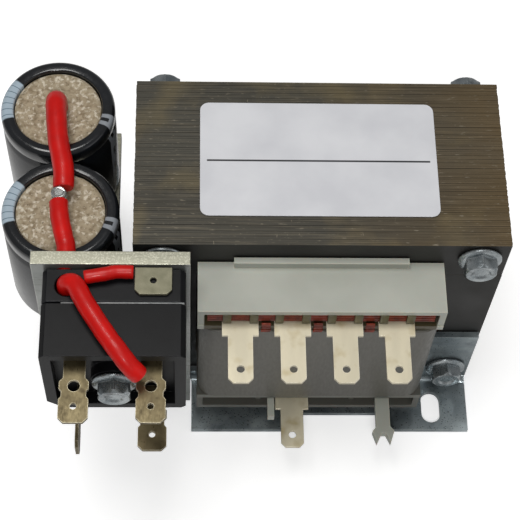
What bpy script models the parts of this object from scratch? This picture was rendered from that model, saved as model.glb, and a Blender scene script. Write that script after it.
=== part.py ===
"""Open-frame mains transformer with a bridge rectifier and two smoothing capacitors.

An EI 84 laminated core stands on its bottom yoke, with the winding's axis upright. Sizes are in
millimetres until a mesh is made. X runs to the right, Y to the back and Z up, and the origin is the
middle of the core's underside.
"""

import math

import bmesh
import bpy

MM = 0.001
GAP = 0.3

# The laminated core: a standard EI 84 sheet, stacked 43 mm deep.
CORE_WIDTH = 84.0
CORE_HEIGHT = 70.0
STACK_DEPTH = 43.0
YOKE = 14.0
TONGUE = 28.0
LEG = 14.0

# The four M4 core bolts, through the corners of the sheets.
BOLT_INSET = 6.5
LOW_BOLT_Z = 9.0
HIGH_BOLT_INSET = 5.6
M4_RADIUS = 2.0
M4_HOLE_RADIUS = 2.3
HEX_FLATS = 7.0
HEAD_HEIGHT = 2.8
HEAD_FLANGE_RADIUS = 5.0
HEAD_FLANGE_HEIGHT = 1.2
NUT_HEIGHT = 3.2
BOLT_END = 1.2

# The nylon bobbin.
BOBBIN_WALL = 1.5
FLANGE_THICKNESS = 1.7
FLANGE_FRONT = 34.4
FLANGE_BACK = 31.0
HOOD_FRONT = 34.2
HOOD_HEIGHT = 6.7
HOOD_WALL = 1.5
RIB_THICKNESS = 1.2
UPSTAND_HEIGHT = 2.2
UPSTAND_WIDTH = 39.2

# The windings, each a ring round the tongue.
PRIMARY_BUILD = 4.8
SECONDARY_BUILD = 4.6
WRAP_BUILD = 1.3
BACK_SHARE = 0.62
WINDING_CORNER = 4.0
TUBE_CORNER = 2.0

# The flat blade terminals of the winding.
TAB_PITCH = 11.7
TAB_ROW_SHIFT = -0.6
TAB_COUNT = 4
TAB_THICKNESS = 0.8
TAB_ROOT_WIDTH = 4.0
TAB_SHOULDER_WIDTH = 8.2
TAB_BLADE_WIDTH = 5.6
TAB_ROOT_Y = -26.0
TAB_SHOULDER_Y = -33.5
TAB_BLADE_Y = -37.3
TAB_TIP_Y = -48.7
TAB_HOLE_FROM_TIP = 3.3
TAB_HOLE_RADIUS = 0.9
TAB_CHAMFER = 1.1
LOWER_TAB_X = -4.2
LOWER_TAB_SHORTER = 1.4

# The moulded pegs of the lower flange, where two more terminals could go.
PEG_X = 18.2
PEG_WIDTH = 3.4
PEG_FORK_WIDTH = 5.4
PEG_TIP_Y = -46.3
PEG_FORK_LENGTH = 4.2
PEG_BARB = 1.2
PEG_FORK_DEPTH = 1.8
PEG_HEIGHT = 2.3
HOOK_WIDTH = 1.6
HOOK_TIP_Y = -39.5

# The folded steel foot brackets under the front and back faces of the core.
BRACKET_SHEET = 1.5
BRACKET_HALF_WIDTH = 41.5
EAR_WIDTH = 12.2
EAR_HEIGHT = 26.0
FOOT_REACH = 37.8
FOOT_LEFT = -29.0
FOOT_NOTCH_LEFT = -4.0
FOOT_NOTCH_RIGHT = 19.0
FOOT_NOTCH_DEPTH = 4.5
SLOT_X = 32.3
SLOT_CENTRE = 31.6
SLOT_LENGTH = 8.4
SLOT_WIDTH = 4.8

# The aluminium carrier plate at the left, with its shelf for the capacitors.
PLATE_LEFT = -63.6
PLATE_RIGHT = -29.3
PLATE_TOP = 75.4
PLATE_BACK_Y = -26.1
PLATE_SHEET = 3.2
PLATE_TAIL_WIDTH = 12.2
PLATE_STEP_Z = 50.0
SHELF_ROOT_LEFT = -56.5
SHELF_LEFT = -64.0
SHELF_CORNER = (-62.0, -18.0)
SHELF_SIDE_Y = -11.0
SHELF_RIGHT = -47.0
SHELF_BACK_Y = 29.0
SHELF_TOP = 35.5
SPACER_RADIUS = 4.5

# The bridge rectifier and the black block behind it.
RECTIFIER_X = -45.6
RECTIFIER_Z = 59.6
RECTIFIER_WIDTH = 30.8
RECTIFIER_HEIGHT = 28.0
RECTIFIER_DEPTH = 12.3
BLOCK_DEPTH = 7.8
CASE_CHAMFER = 1.0
CASE_KEY_CHAMFER = 3.6
CASE_WALL = 2.4
CASE_RECESS = 3.0
CASE_BOSS_RADIUS = 5.2
CASE_BOSS_DROP = 0.5
BLOCK_WELL_DEPTH = 7.0
RECTIFIER_TAB_PITCH_X = 16.2
RECTIFIER_TAB_PITCH_Z = 16.0
RECTIFIER_TAB_REACH = 12.6
RECTIFIER_TAB_WIDTH = 6.3
WIRE_HOLE_RADIUS = 1.3
WIRE_HOLE_REACH = 4.3
DETENT_REACH = 8.9
DETENT_RADIUS = 0.7
OUTPUT_TAB_X = -37.2
OUTPUT_TAB_WIDTH = 8.0
OUTPUT_TAB_REACH = 6.4

# The two electrolytic capacitors, each upright with its resin seal on top.
CAPACITOR_RADIUS = 13.2
CAPACITOR_LENGTH = 31.2
CAPACITOR_RIM = 2.9
CAPACITOR_RECESS = 2.8
SEAL_THICKNESS = 1.8
SEAL_EDGE_DROP = 0.4
SEAL_EDGE_WIDTH = 0.6
REAR_CAPACITOR = (-60.2, 16.0)
FRONT_CAPACITOR = (-58.5, -11.3)
EDGE_ROUND = 1.0

# The red sleeved leads.
SLEEVE_RADIUS = 2.1
THIN_SLEEVE_RADIUS = 1.5
BARE_WIRE_RADIUS = 0.9
LEAD_HOLE_RADIUS = 2.6
LEAD_HOLE_X = -56.4
LEAD_HEIGHT = 71.0
BORE_X = -55.6
BORE_Y = -33.4

# The paper label on the top yoke.
LABEL_CENTRE = (-0.4, 0.6)
LABEL_WIDTH = 53.8
LABEL_DEPTH = 29.8
LABEL_THICKNESS = 0.2
LABEL_CORNER = 2.0
LABEL_GAP = 0.1

HALF_STACK = STACK_DEPTH / 2
WINDOW_BOTTOM = YOKE
WINDOW_TOP = CORE_HEIGHT - YOKE
HOOK_X = LOWER_TAB_X - TAB_SHOULDER_WIDTH / 2 - GAP - HOOK_WIDTH / 2
TUBE_X = TONGUE / 2 + GAP + BOBBIN_WALL
TUBE_Y = HALF_STACK + GAP + BOBBIN_WALL
FLANGE_HALF_WIDTH = TONGUE / 2 + LEG - GAP
FLANGE_BOTTOM = WINDOW_BOTTOM + GAP
FLANGE_TOP = WINDOW_TOP - GAP
WEB_HEIGHT = CORE_HEIGHT - FLANGE_TOP - HOOD_HEIGHT - UPSTAND_HEIGHT - GAP
BOLT_X = CORE_WIDTH / 2 - BOLT_INSET
HIGH_BOLT_Z = CORE_HEIGHT - HIGH_BOLT_INSET
PLATE_FRONT_Y = PLATE_BACK_Y - PLATE_SHEET
BLOCK_BACK_Y = PLATE_FRONT_Y - GAP
BLOCK_FRONT_Y = BLOCK_BACK_Y - BLOCK_DEPTH
CASE_BACK_Y = BLOCK_FRONT_Y - GAP
CASE_FRONT_Y = CASE_BACK_Y - RECTIFIER_DEPTH
CASE_TOP = RECTIFIER_Z + RECTIFIER_HEIGHT / 2
CAPACITOR_BOTTOM = SHELF_TOP + GAP
CAPACITOR_TOP = CAPACITOR_BOTTOM + CAPACITOR_LENGTH
SEAL_TOP = CAPACITOR_TOP - CAPACITOR_RECESS + GAP + SEAL_THICKNESS


def clear_scene():
    for item in list(bpy.data.objects):
        bpy.data.objects.remove(item)


def linear(hex_colour):
    channels = [int(hex_colour[i : i + 2], 16) / 255 for i in (1, 3, 5)]
    return [c / 12.92 if c <= 0.04045 else ((c + 0.055) / 1.055) ** 2.4 for c in channels] + [1.0]


def finish_of(name, hex_colour, roughness, metallic):
    material = bpy.data.materials.new(name)
    material.use_nodes = True
    shader = material.node_tree.nodes["Principled BSDF"]
    shader.inputs["Base Color"].default_value = linear(hex_colour)
    shader.inputs["Roughness"].default_value = roughness
    shader.inputs["Metallic"].default_value = metallic
    return material


def add_object(name, shape, material=None):
    """Puts a bmesh into the scene as an object, with its faces turned outwards."""
    bmesh.ops.recalc_face_normals(shape, faces=shape.faces)
    mesh = bpy.data.meshes.new(name)
    shape.to_mesh(mesh)
    shape.free()
    item = bpy.data.objects.new(name, mesh)
    bpy.context.scene.collection.objects.link(item)
    if material:
        mesh.materials.append(material)
    return item


def place(axis, u, v, along):
    """A point from its two coordinates across an axis and the one along it, in metres."""
    order = {"X": (along, u, v), "Y": (u, along, v), "Z": (u, v, along)}
    return [value * MM for value in order[axis]]


def prism(name, outline, axis, low, high, material=None):
    shape = bmesh.new()
    ends = [[shape.verts.new(place(axis, u, v, along)) for u, v in outline] for along in (low, high)]
    for ring in ends:
        shape.faces.new(ring)
    count = len(outline)
    for i in range(count):
        j = (i + 1) % count
        shape.faces.new((ends[0][i], ends[0][j], ends[1][j], ends[1][i]))
    return add_object(name, shape, material)


def rectangle(u, v):
    return [(u[0], v[0]), (u[1], v[0]), (u[1], v[1]), (u[0], v[1])]


def rounded_rectangle(u, v, radius, steps=5):
    corners = [(u[1], v[1], 0), (u[0], v[1], 90), (u[0], v[0], 180), (u[1], v[0], 270)]
    points = []
    for corner_u, corner_v, start in corners:
        centre_u = corner_u - math.copysign(radius, corner_u - sum(u) / 2)
        centre_v = corner_v - math.copysign(radius, corner_v - sum(v) / 2)
        for step in range(steps + 1):
            angle = math.radians(start + 90 * step / steps)
            points.append((centre_u + radius * math.cos(angle), centre_v + radius * math.sin(angle)))
    return points


def polygon(centre, radius, sides, turn=0.0):
    return [
        (
            centre[0] + radius * math.cos(turn + math.tau * i / sides),
            centre[1] + radius * math.sin(turn + math.tau * i / sides),
        )
        for i in range(sides)
    ]


def box(name, x, y, z, material=None):
    return prism(name, rectangle(x, y), "Z", z[0], z[1], material)


def turned(name, centre, profile, material=None, sides=40):
    """A closed profile of (radius, height) points turned about an upright axis."""
    shape = bmesh.new()
    rings = []
    for radius, height in profile:
        if radius == 0:
            rings.append([shape.verts.new([centre[0] * MM, centre[1] * MM, height * MM])])
        else:
            outline = polygon(centre, radius, sides)
            rings.append([shape.verts.new(place("Z", u, v, height)) for u, v in outline])
    for lower, upper in zip(rings, rings[1:]):
        for i in range(sides):
            j = (i + 1) % sides
            below = (lower[i % len(lower)], lower[j % len(lower)])
            above = (upper[j % len(upper)], upper[i % len(upper)])
            corners = [*below, *above]
            shape.faces.new(list(dict.fromkeys(corners)))
    item = add_object(name, shape, material)
    item.data.shade_smooth()
    item.data.set_sharp_from_angle(angle=math.radians(35))
    return item


def shape_with(item, operation, tools):
    """Joins hidden tools to an object, or cuts it with them."""
    for tool in tools:
        tool.hide_render = True
        tool.display_type = "WIRE"
        step = item.modifiers.new(tool.name, "BOOLEAN")
        step.operation = operation
        step.object = tool
        step.solver = "EXACT"
    return item


def hole(name, axis, centre, radius, low, high, sides=20):
    return prism(name, polygon(centre, radius, sides), axis, low, high)


def spline_value(t, a, b, c, d):
    """A Catmull-Rom curve's value at t, from b to c, with its neighbours a and d."""
    square = (2 * a - 5 * b + 4 * c - d) * t**2
    cube = (3 * b - a - 3 * c + d) * t**3
    return 0.5 * (2 * b + (c - a) * t + square + cube)


def smooth_route(points, steps=4):
    """Points on a smooth curve that runs through the route's own points."""
    padded = [points[0], *points, points[-1]]
    route = []
    for before, start, end, after in zip(padded, padded[1:], padded[2:], padded[3:]):
        for step in range(steps):
            t = step / steps
            route.append(tuple(spline_value(t, *four) for four in zip(before, start, end, after)))
    return [*route, points[-1]]


def wire(name, points, radius, material, steps=4):
    route = smooth_route(points, steps)
    curve = bpy.data.curves.new(name, "CURVE")
    curve.dimensions = "3D"
    curve.bevel_depth = radius * MM
    curve.bevel_resolution = 3
    curve.use_fill_caps = True
    spline = curve.splines.new("POLY")
    spline.points.add(len(route) - 1)
    for point, place_mm in zip(spline.points, route):
        point.co = [value * MM for value in place_mm] + [1.0]
    item = bpy.data.objects.new(name, curve)
    bpy.context.scene.collection.objects.link(item)
    curve.materials.append(material)
    return item


def make_core(steel):
    half_width = CORE_WIDTH / 2
    half_tongue = TONGUE / 2
    leg_inside = half_width - LEG
    e_outline = [
        (-half_width, 0),
        (half_width, 0),
        (half_width, WINDOW_TOP),
        (leg_inside, WINDOW_TOP),
        (leg_inside, WINDOW_BOTTOM),
        (half_tongue, WINDOW_BOTTOM),
        (half_tongue, WINDOW_TOP),
        (-half_tongue, WINDOW_TOP),
        (-half_tongue, WINDOW_BOTTOM),
        (-leg_inside, WINDOW_BOTTOM),
        (-leg_inside, WINDOW_TOP),
        (-half_width, WINDOW_TOP),
    ]
    e_stack = prism("core_e_stack", e_outline, "Y", -HALF_STACK, HALF_STACK, steel)
    i_outline = rectangle((-half_width, half_width), (WINDOW_TOP + GAP, CORE_HEIGHT))
    i_stack = prism("core_i_stack", i_outline, "Y", -HALF_STACK, HALF_STACK, steel)
    for stack, height, row in ((e_stack, LOW_BOLT_Z, "low"), (i_stack, HIGH_BOLT_Z, "high")):
        through = (-HALF_STACK - 1, HALF_STACK + 1)
        cutters = [
            hole(f"cut_{row}_core_{side}", "Y", (side * BOLT_X, height), M4_HOLE_RADIUS, *through)
            for side in (-1, 1)
        ]
        shape_with(stack, "DIFFERENCE", cutters)


def mirror_height(z):
    """A height range on the upper flange, mirrored to the lower one."""
    return (CORE_HEIGHT - z[1], CORE_HEIGHT - z[0])


def hood_pieces(name, flip):
    """The roof, walls, ribs and upstand of the terminal chamber on one flange."""
    at = mirror_height if flip else (lambda z: z)
    back = -HALF_STACK - GAP
    front = -HOOD_FRONT
    side = FLANGE_HALF_WIDTH
    floor = FLANGE_TOP - FLANGE_THICKNESS / 2
    roof = FLANGE_TOP + HOOD_HEIGHT
    pieces = [
        box(f"{name}_roof", (-side, side), (front, back), at((roof - HOOD_WALL, roof))),
        box(f"{name}_back", (-side, side), (back - HOOD_WALL, back), at((floor, roof - HOOD_WALL / 2))),
        box(
            f"{name}_upstand",
            (-UPSTAND_WIDTH / 2, UPSTAND_WIDTH / 2),
            (back - HOOD_WALL, back),
            at((roof - HOOD_WALL / 2, roof + UPSTAND_HEIGHT)),
        ),
    ]
    walls = [(-side, -side + HOOD_WALL), (side - HOOD_WALL, side)]
    for i in range(TAB_COUNT - 1):
        x = TAB_ROW_SHIFT + (i - (TAB_COUNT - 2) / 2) * TAB_PITCH
        walls.append((x - RIB_THICKNESS / 2, x + RIB_THICKNESS / 2))
    wall_z = at((floor, roof - HOOD_WALL / 2))
    for i, x in enumerate(walls):
        reach = front if i < 2 else front + HOOD_WALL
        pieces.append(box(f"{name}_wall_{i}", x, (reach, back - HOOD_WALL / 2), wall_z))
    return pieces


def make_bobbin(nylon):
    side = FLANGE_HALF_WIDTH
    tube_z = (FLANGE_BOTTOM + FLANGE_THICKNESS / 2, FLANGE_TOP - FLANGE_THICKNESS / 2)
    tube = rounded_rectangle((-TUBE_X, TUBE_X), (-TUBE_Y, TUBE_Y), TUBE_CORNER)
    bobbin = prism("bobbin", tube, "Z", *tube_z, nylon)
    depth = (-FLANGE_FRONT, FLANGE_BACK)
    peg_top = FLANGE_BOTTOM + GAP
    peg_z = (peg_top - PEG_HEIGHT, peg_top)
    fork_y = PEG_TIP_Y + PEG_FORK_LENGTH
    peg_root_y = -HOOD_FRONT + HOOD_WALL
    peg_outline = [
        (PEG_X - PEG_WIDTH / 2, peg_root_y),
        (PEG_X - PEG_WIDTH / 2, fork_y),
        (PEG_X - PEG_FORK_WIDTH / 2, fork_y - PEG_BARB),
        (PEG_X - PEG_WIDTH / 2, PEG_TIP_Y),
        (PEG_X - PEG_WIDTH / 6, fork_y - PEG_FORK_DEPTH),
        (PEG_X + PEG_WIDTH / 6, fork_y - PEG_FORK_DEPTH),
        (PEG_X + PEG_WIDTH / 2, PEG_TIP_Y),
        (PEG_X + PEG_FORK_WIDTH / 2, fork_y - PEG_BARB),
        (PEG_X + PEG_WIDTH / 2, fork_y),
        (PEG_X + PEG_WIDTH / 2, peg_root_y),
    ]
    hook_x = (HOOK_X - HOOK_WIDTH / 2, HOOK_X + HOOK_WIDTH / 2)
    joined = [
        box("bobbin_low_flange", (-side, side), depth, (FLANGE_BOTTOM, FLANGE_BOTTOM + FLANGE_THICKNESS)),
        box("bobbin_high_flange", (-side, side), depth, (FLANGE_TOP - FLANGE_THICKNESS, FLANGE_TOP)),
        *hood_pieces("high_hood", False),
        *hood_pieces("low_hood", True),
        prism("bobbin_peg", peg_outline, "Z", *peg_z),
        box("bobbin_hook", hook_x, (HOOK_TIP_Y, peg_root_y), peg_z),
    ]
    shape_with(bobbin, "UNION", joined)
    inside = (TONGUE / 2 + GAP, HALF_STACK + GAP)
    bore_z = (WINDOW_BOTTOM - 1, WINDOW_TOP + 1)
    bore = box("bobbin_bore", (-inside[0], inside[0]), (-inside[1], inside[1]), bore_z)
    shape_with(bobbin, "DIFFERENCE", [bore])


def make_winding(name, inset, build, material):
    """A ring round the bobbin's tube, thinner at the back, where no leads come out.

    The inset is a pair: from the tube to the ring's inside, at the front and at the back."""
    z = (FLANGE_BOTTOM + FLANGE_THICKNESS + GAP, FLANGE_TOP - FLANGE_THICKNESS - GAP)
    front, back = inset
    inner_x = TUBE_X + front
    inner_y = (-TUBE_Y - front, TUBE_Y + back)
    outer_x = inner_x + build
    outer_y = (inner_y[0] - build, inner_y[1] + build * BACK_SHARE)
    inner_corner = min(TUBE_CORNER + back, WINDING_CORNER)
    outer_corner = min(inner_corner + build * BACK_SHARE, WINDING_CORNER)
    ring = prism(
        name,
        rounded_rectangle((-outer_x, outer_x), outer_y, outer_corner),
        "Z",
        *z,
        material,
    )
    core_hole = rounded_rectangle((-inner_x, inner_x), inner_y, inner_corner)
    cutter = prism(f"{name}_inside", core_hole, "Z", z[0] - 1, z[1] + 1)
    return shape_with(ring, "DIFFERENCE", [cutter])


def make_windings(copper, film):
    inset = (GAP, GAP)
    for name, build, material in (
        ("primary_winding", PRIMARY_BUILD, copper),
        ("secondary_winding", SECONDARY_BUILD, copper),
        ("winding_wrap", WRAP_BUILD, film),
    ):
        make_winding(name, inset, build, material)
        inset = (inset[0] + build + GAP, inset[1] + build * BACK_SHARE + GAP)


def make_blade_tab(name, x, z, material, shorter=0.0):
    """A winding terminal: a root in its chamber, two shoulders and a blade that points forwards."""
    tip_y = TAB_TIP_Y + shorter
    root = TAB_ROOT_WIDTH / 2
    shoulder = TAB_SHOULDER_WIDTH / 2
    blade = TAB_BLADE_WIDTH / 2
    half = [
        (root, TAB_ROOT_Y),
        (root, TAB_SHOULDER_Y),
        (shoulder, TAB_SHOULDER_Y),
        (shoulder, TAB_BLADE_Y),
        (blade, TAB_BLADE_Y),
        (blade, tip_y + TAB_CHAMFER),
        (blade - TAB_CHAMFER, tip_y),
    ]
    outline = [(x + u, v) for u, v in half] + [(x - u, v) for u, v in reversed(half)]
    tab = prism(name, outline, "Z", z, z + TAB_THICKNESS, material)
    centre = (x, tip_y + TAB_HOLE_FROM_TIP)
    cutter = hole(f"{name}_hole", "Z", centre, TAB_HOLE_RADIUS, z - 1, z + TAB_THICKNESS + 1, 16)
    shape_with(tab, "DIFFERENCE", [cutter])


def make_winding_tabs(brass):
    z = FLANGE_TOP + GAP
    for i in range(TAB_COUNT):
        x = TAB_ROW_SHIFT + (i - (TAB_COUNT - 1) / 2) * TAB_PITCH
        make_blade_tab(f"winding_tab_{i + 1}", x, z, brass)
    low_z = CORE_HEIGHT - z - TAB_THICKNESS
    make_blade_tab("winding_tab_low", LOWER_TAB_X, low_z, brass, LOWER_TAB_SHORTER)


def make_hex_bolt(name, x, z, head_y, end_y, steel):
    """A flanged hex bolt along Y. Its head bears at head_y and stands out to the front."""
    across_corners = HEX_FLATS / math.cos(math.pi / 6)
    flange_y = head_y - HEAD_FLANGE_HEIGHT
    bolt = prism(name, polygon((x, z), HEAD_FLANGE_RADIUS, 28), "Y", flange_y, head_y, steel)
    hexagon = polygon((x, z), across_corners / 2, 6)
    head = prism(f"{name}_hex", hexagon, "Y", flange_y - HEAD_HEIGHT, flange_y + 0.4)
    shank = prism(f"{name}_shank", polygon((x, z), M4_RADIUS, 16), "Y", head_y - 0.4, end_y)
    shape_with(bolt, "UNION", [head, shank])


def make_nut(name, x, z, seat_y, steel):
    """A hex nut along Y that bears at seat_y, on the back."""
    across_corners = HEX_FLATS / math.cos(math.pi / 6)
    nut = prism(name, polygon((x, z), across_corners / 2, 6), "Y", seat_y, seat_y + NUT_HEIGHT, steel)
    cutter = hole(f"{name}_bore", "Y", (x, z), M4_RADIUS + 0.2, seat_y - 1, seat_y + NUT_HEIGHT + 1, 16)
    shape_with(nut, "DIFFERENCE", [cutter])


def make_core_bolts(steel):
    bracket_face = HALF_STACK + GAP + BRACKET_SHEET
    for side, side_name in ((-1, "left"), (1, "right")):
        x = side * BOLT_X
        for z, row, face in ((HIGH_BOLT_Z, "upper", HALF_STACK), (LOW_BOLT_Z, "lower", bracket_face)):
            on_plate = row == "lower" and side < 0
            head_y = (PLATE_FRONT_Y if on_plate else -face) - GAP
            nut_y = face + GAP
            make_hex_bolt(f"core_bolt_{row}_{side_name}", x, z, head_y, nut_y + NUT_HEIGHT + BOLT_END, steel)
            make_nut(f"core_nut_{row}_{side_name}", x, z, nut_y, steel)
    centre = (-BOLT_X, LOW_BOLT_Z)
    ring = hole("bolt_spacer", "Y", centre, SPACER_RADIUS, PLATE_BACK_Y + GAP, -bracket_face - GAP, 24)
    ring.data.materials.append(steel)
    inside = hole("bolt_spacer_bore", "Y", centre, M4_HOLE_RADIUS, PLATE_BACK_Y - 1, -bracket_face + 1)
    shape_with(ring, "DIFFERENCE", [inside])


def make_foot_bracket(name, facing, foot_left, has_notch, slot_sides, steel):
    """An angle of sheet steel: a web with two ears on the core's face, and a foot on the ground."""
    inner = facing * (HALF_STACK + GAP)
    outer = inner + facing * BRACKET_SHEET
    web_y = tuple(sorted((inner, outer)))
    half = BRACKET_HALF_WIDTH
    web_outline = [
        (-half, 0),
        (half, 0),
        (half, EAR_HEIGHT),
        (half - EAR_WIDTH, EAR_HEIGHT),
        (half - EAR_WIDTH, WEB_HEIGHT),
        (EAR_WIDTH - half, WEB_HEIGHT),
        (EAR_WIDTH - half, EAR_HEIGHT),
        (-half, EAR_HEIGHT),
    ]
    bracket = prism(name, web_outline, "Y", *web_y, steel)
    edge = facing * FOOT_REACH
    foot_outline = [(foot_left, inner), (half, inner), (half, edge), (foot_left, edge)]
    if has_notch:
        notch = facing * (FOOT_REACH - FOOT_NOTCH_DEPTH)
        foot_outline[3:3] = [
            (FOOT_NOTCH_RIGHT, edge),
            (FOOT_NOTCH_RIGHT, notch),
            (FOOT_NOTCH_LEFT, notch),
            (FOOT_NOTCH_LEFT, edge),
        ]
    foot = prism(f"{name}_foot", foot_outline, "Z", 0, BRACKET_SHEET)
    shape_with(bracket, "UNION", [foot])
    cutters = []
    for side in (-1, 1):
        centre = (side * BOLT_X, LOW_BOLT_Z)
        cutters.append(hole(f"{name}_hole_{side}", "Y", centre, M4_HOLE_RADIUS, web_y[0] - 1, web_y[1] + 1))
    for side in slot_sides:
        x = side * SLOT_X
        y = sorted((facing * (SLOT_CENTRE - SLOT_LENGTH / 2), facing * (SLOT_CENTRE + SLOT_LENGTH / 2)))
        outline = rounded_rectangle((x - SLOT_WIDTH / 2, x + SLOT_WIDTH / 2), y, SLOT_WIDTH / 2 - 0.01, 6)
        cutters.append(prism(f"{name}_slot_{side}", outline, "Z", -1, BRACKET_SHEET + 1))
    shape_with(bracket, "DIFFERENCE", cutters)


def make_carrier_plate(aluminium):
    y = (PLATE_FRONT_Y, PLATE_BACK_Y)
    shelf_bottom = SHELF_TOP - PLATE_SHEET
    tail_left = PLATE_RIGHT - PLATE_TAIL_WIDTH
    outline = [
        (tail_left, 0),
        (PLATE_RIGHT, 0),
        (PLATE_RIGHT, PLATE_TOP),
        (PLATE_LEFT, PLATE_TOP),
        (PLATE_LEFT, PLATE_STEP_Z),
        (SHELF_ROOT_LEFT, PLATE_STEP_Z),
        (SHELF_ROOT_LEFT, shelf_bottom),
        (tail_left, shelf_bottom),
    ]
    plate = prism("carrier_plate", outline, "Y", *y, aluminium)
    shelf_outline = [
        (SHELF_ROOT_LEFT, y[0]),
        (SHELF_RIGHT, y[0]),
        (SHELF_RIGHT, SHELF_BACK_Y),
        (SHELF_LEFT, SHELF_BACK_Y),
        (SHELF_LEFT, SHELF_SIDE_Y),
        SHELF_CORNER,
    ]
    shelf = prism("carrier_shelf", shelf_outline, "Z", shelf_bottom, SHELF_TOP)
    shape_with(plate, "UNION", [shelf])
    through = (y[0] - 1, y[1] + 1)
    cutters = [
        hole("cut_plate_bolt", "Y", (-BOLT_X, LOW_BOLT_Z), M4_HOLE_RADIUS, *through),
        hole("cut_plate_screw", "Y", (RECTIFIER_X, RECTIFIER_Z), M4_HOLE_RADIUS, *through),
        hole("cut_plate_lead", "Y", (LEAD_HOLE_X, LEAD_HEIGHT), LEAD_HOLE_RADIUS, *through),
    ]
    for i, centre in enumerate((REAR_CAPACITOR, FRONT_CAPACITOR)):
        cutters.append(hole(f"cut_shelf_{i}", "Z", centre, LEAD_HOLE_RADIUS, shelf_bottom - 1, SHELF_TOP + 1))
    shape_with(plate, "DIFFERENCE", cutters)


def case_outline():
    left = RECTIFIER_X - RECTIFIER_WIDTH / 2
    right = RECTIFIER_X + RECTIFIER_WIDTH / 2
    bottom = CASE_TOP - RECTIFIER_HEIGHT
    cut = CASE_CHAMFER
    key = CASE_KEY_CHAMFER
    return [
        (left + key, bottom),
        (right - cut, bottom),
        (right, bottom + cut),
        (right, CASE_TOP - cut),
        (right - cut, CASE_TOP),
        (left + cut, CASE_TOP),
        (left, CASE_TOP - cut),
        (left, bottom + key),
    ]


def make_rectifier(black, anodised, brass, steel):
    centre = (RECTIFIER_X, RECTIFIER_Z)
    block = prism("heat_sink_block", case_outline(), "Y", BLOCK_FRONT_Y, BLOCK_BACK_Y, anodised)
    bore = hole("block_bore", "Y", centre, M4_HOLE_RADIUS, BLOCK_FRONT_Y - 1, BLOCK_BACK_Y + 1)
    well_z = (CASE_TOP - BLOCK_WELL_DEPTH, CASE_TOP + 1)
    well = hole("block_lead_well", "Z", (BORE_X, BORE_Y), LEAD_HOLE_RADIUS, *well_z)
    shape_with(block, "DIFFERENCE", [bore, well])
    case = prism("rectifier_case", case_outline(), "Y", CASE_FRONT_Y, CASE_BACK_Y, black)
    half_width = RECTIFIER_WIDTH / 2 - CASE_WALL
    half_height = RECTIFIER_HEIGHT / 2 - CASE_WALL
    floor_y = CASE_FRONT_Y + CASE_RECESS
    left = centre[0] - half_width
    low = centre[1] - half_height
    recess_outline = [
        (left + CASE_KEY_CHAMFER / 2, low),
        (centre[0] + half_width, low),
        (centre[0] + half_width, centre[1] + half_height),
        (left, centre[1] + half_height),
        (left, low + CASE_KEY_CHAMFER / 2),
    ]
    recess = prism("case_recess", recess_outline, "Y", CASE_FRONT_Y - 1, floor_y)
    shape_with(case, "DIFFERENCE", [recess])
    boss = hole("case_boss", "Y", centre, CASE_BOSS_RADIUS, CASE_FRONT_Y + CASE_BOSS_DROP, floor_y + 1, 28)
    shape_with(case, "UNION", [boss])
    screw_bore = hole("case_bore", "Y", centre, M4_HOLE_RADIUS, CASE_FRONT_Y - 1, CASE_BACK_Y + 1)
    shape_with(case, "DIFFERENCE", [screw_bore])
    seat_y = CASE_FRONT_Y + CASE_BOSS_DROP - GAP
    make_hex_bolt("rectifier_screw", *centre, seat_y, PLATE_BACK_Y + GAP + NUT_HEIGHT, steel)
    make_nut("rectifier_nut", *centre, PLATE_BACK_Y + GAP, steel)
    make_rectifier_tabs(floor_y - GAP, brass)


def make_rectifier_tabs(root_y, brass):
    """Four blade tabs that stand out of the case. The lower left one is turned on edge."""
    tip_y = CASE_FRONT_Y - RECTIFIER_TAB_REACH
    half = RECTIFIER_TAB_WIDTH / 2
    wire_hole_y = CASE_FRONT_Y - WIRE_HOLE_REACH
    neck = half - 0.5
    side = [
        (half - 0.8, root_y),
        (half - 0.8, wire_hole_y + 1.8),
        (half, wire_hole_y + 1.0),
        (half, wire_hole_y - 0.6),
        (neck, wire_hole_y - 1.2),
        (neck, wire_hole_y - 2.4),
        (half, wire_hole_y - 3.0),
        (half, tip_y + TAB_CHAMFER),
        (half - TAB_CHAMFER, tip_y),
    ]
    for x_side, x_name in ((-1, "left"), (1, "right")):
        for z_side, z_name in ((-1, "lower"), (1, "upper")):
            name = f"rectifier_tab_{z_name}_{x_name}"
            x = RECTIFIER_X + x_side * RECTIFIER_TAB_PITCH_X / 2
            z = RECTIFIER_Z + z_side * RECTIFIER_TAB_PITCH_Z / 2
            on_edge = x_side < 0 and z_side < 0
            middle, level = (z, x) if on_edge else (x, z)
            outline = [(middle + u, v) for u, v in side] + [(middle - u, v) for u, v in reversed(side)]
            if on_edge:
                outline = [(v, u) for u, v in outline]
            axis = "X" if on_edge else "Z"
            low = level - TAB_THICKNESS / 2
            high = level + TAB_THICKNESS / 2
            tab = prism(name, outline, axis, low, high, brass)
            cutters = []
            for reach, radius in ((WIRE_HOLE_REACH, WIRE_HOLE_RADIUS), (DETENT_REACH, DETENT_RADIUS)):
                spot = (middle, CASE_FRONT_Y - reach)
                spot = spot[::-1] if on_edge else spot
                cutters.append(hole(f"{name}_hole_{reach}", axis, spot, radius, low - 1, high + 1, 16))
            shape_with(tab, "DIFFERENCE", cutters)


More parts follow.
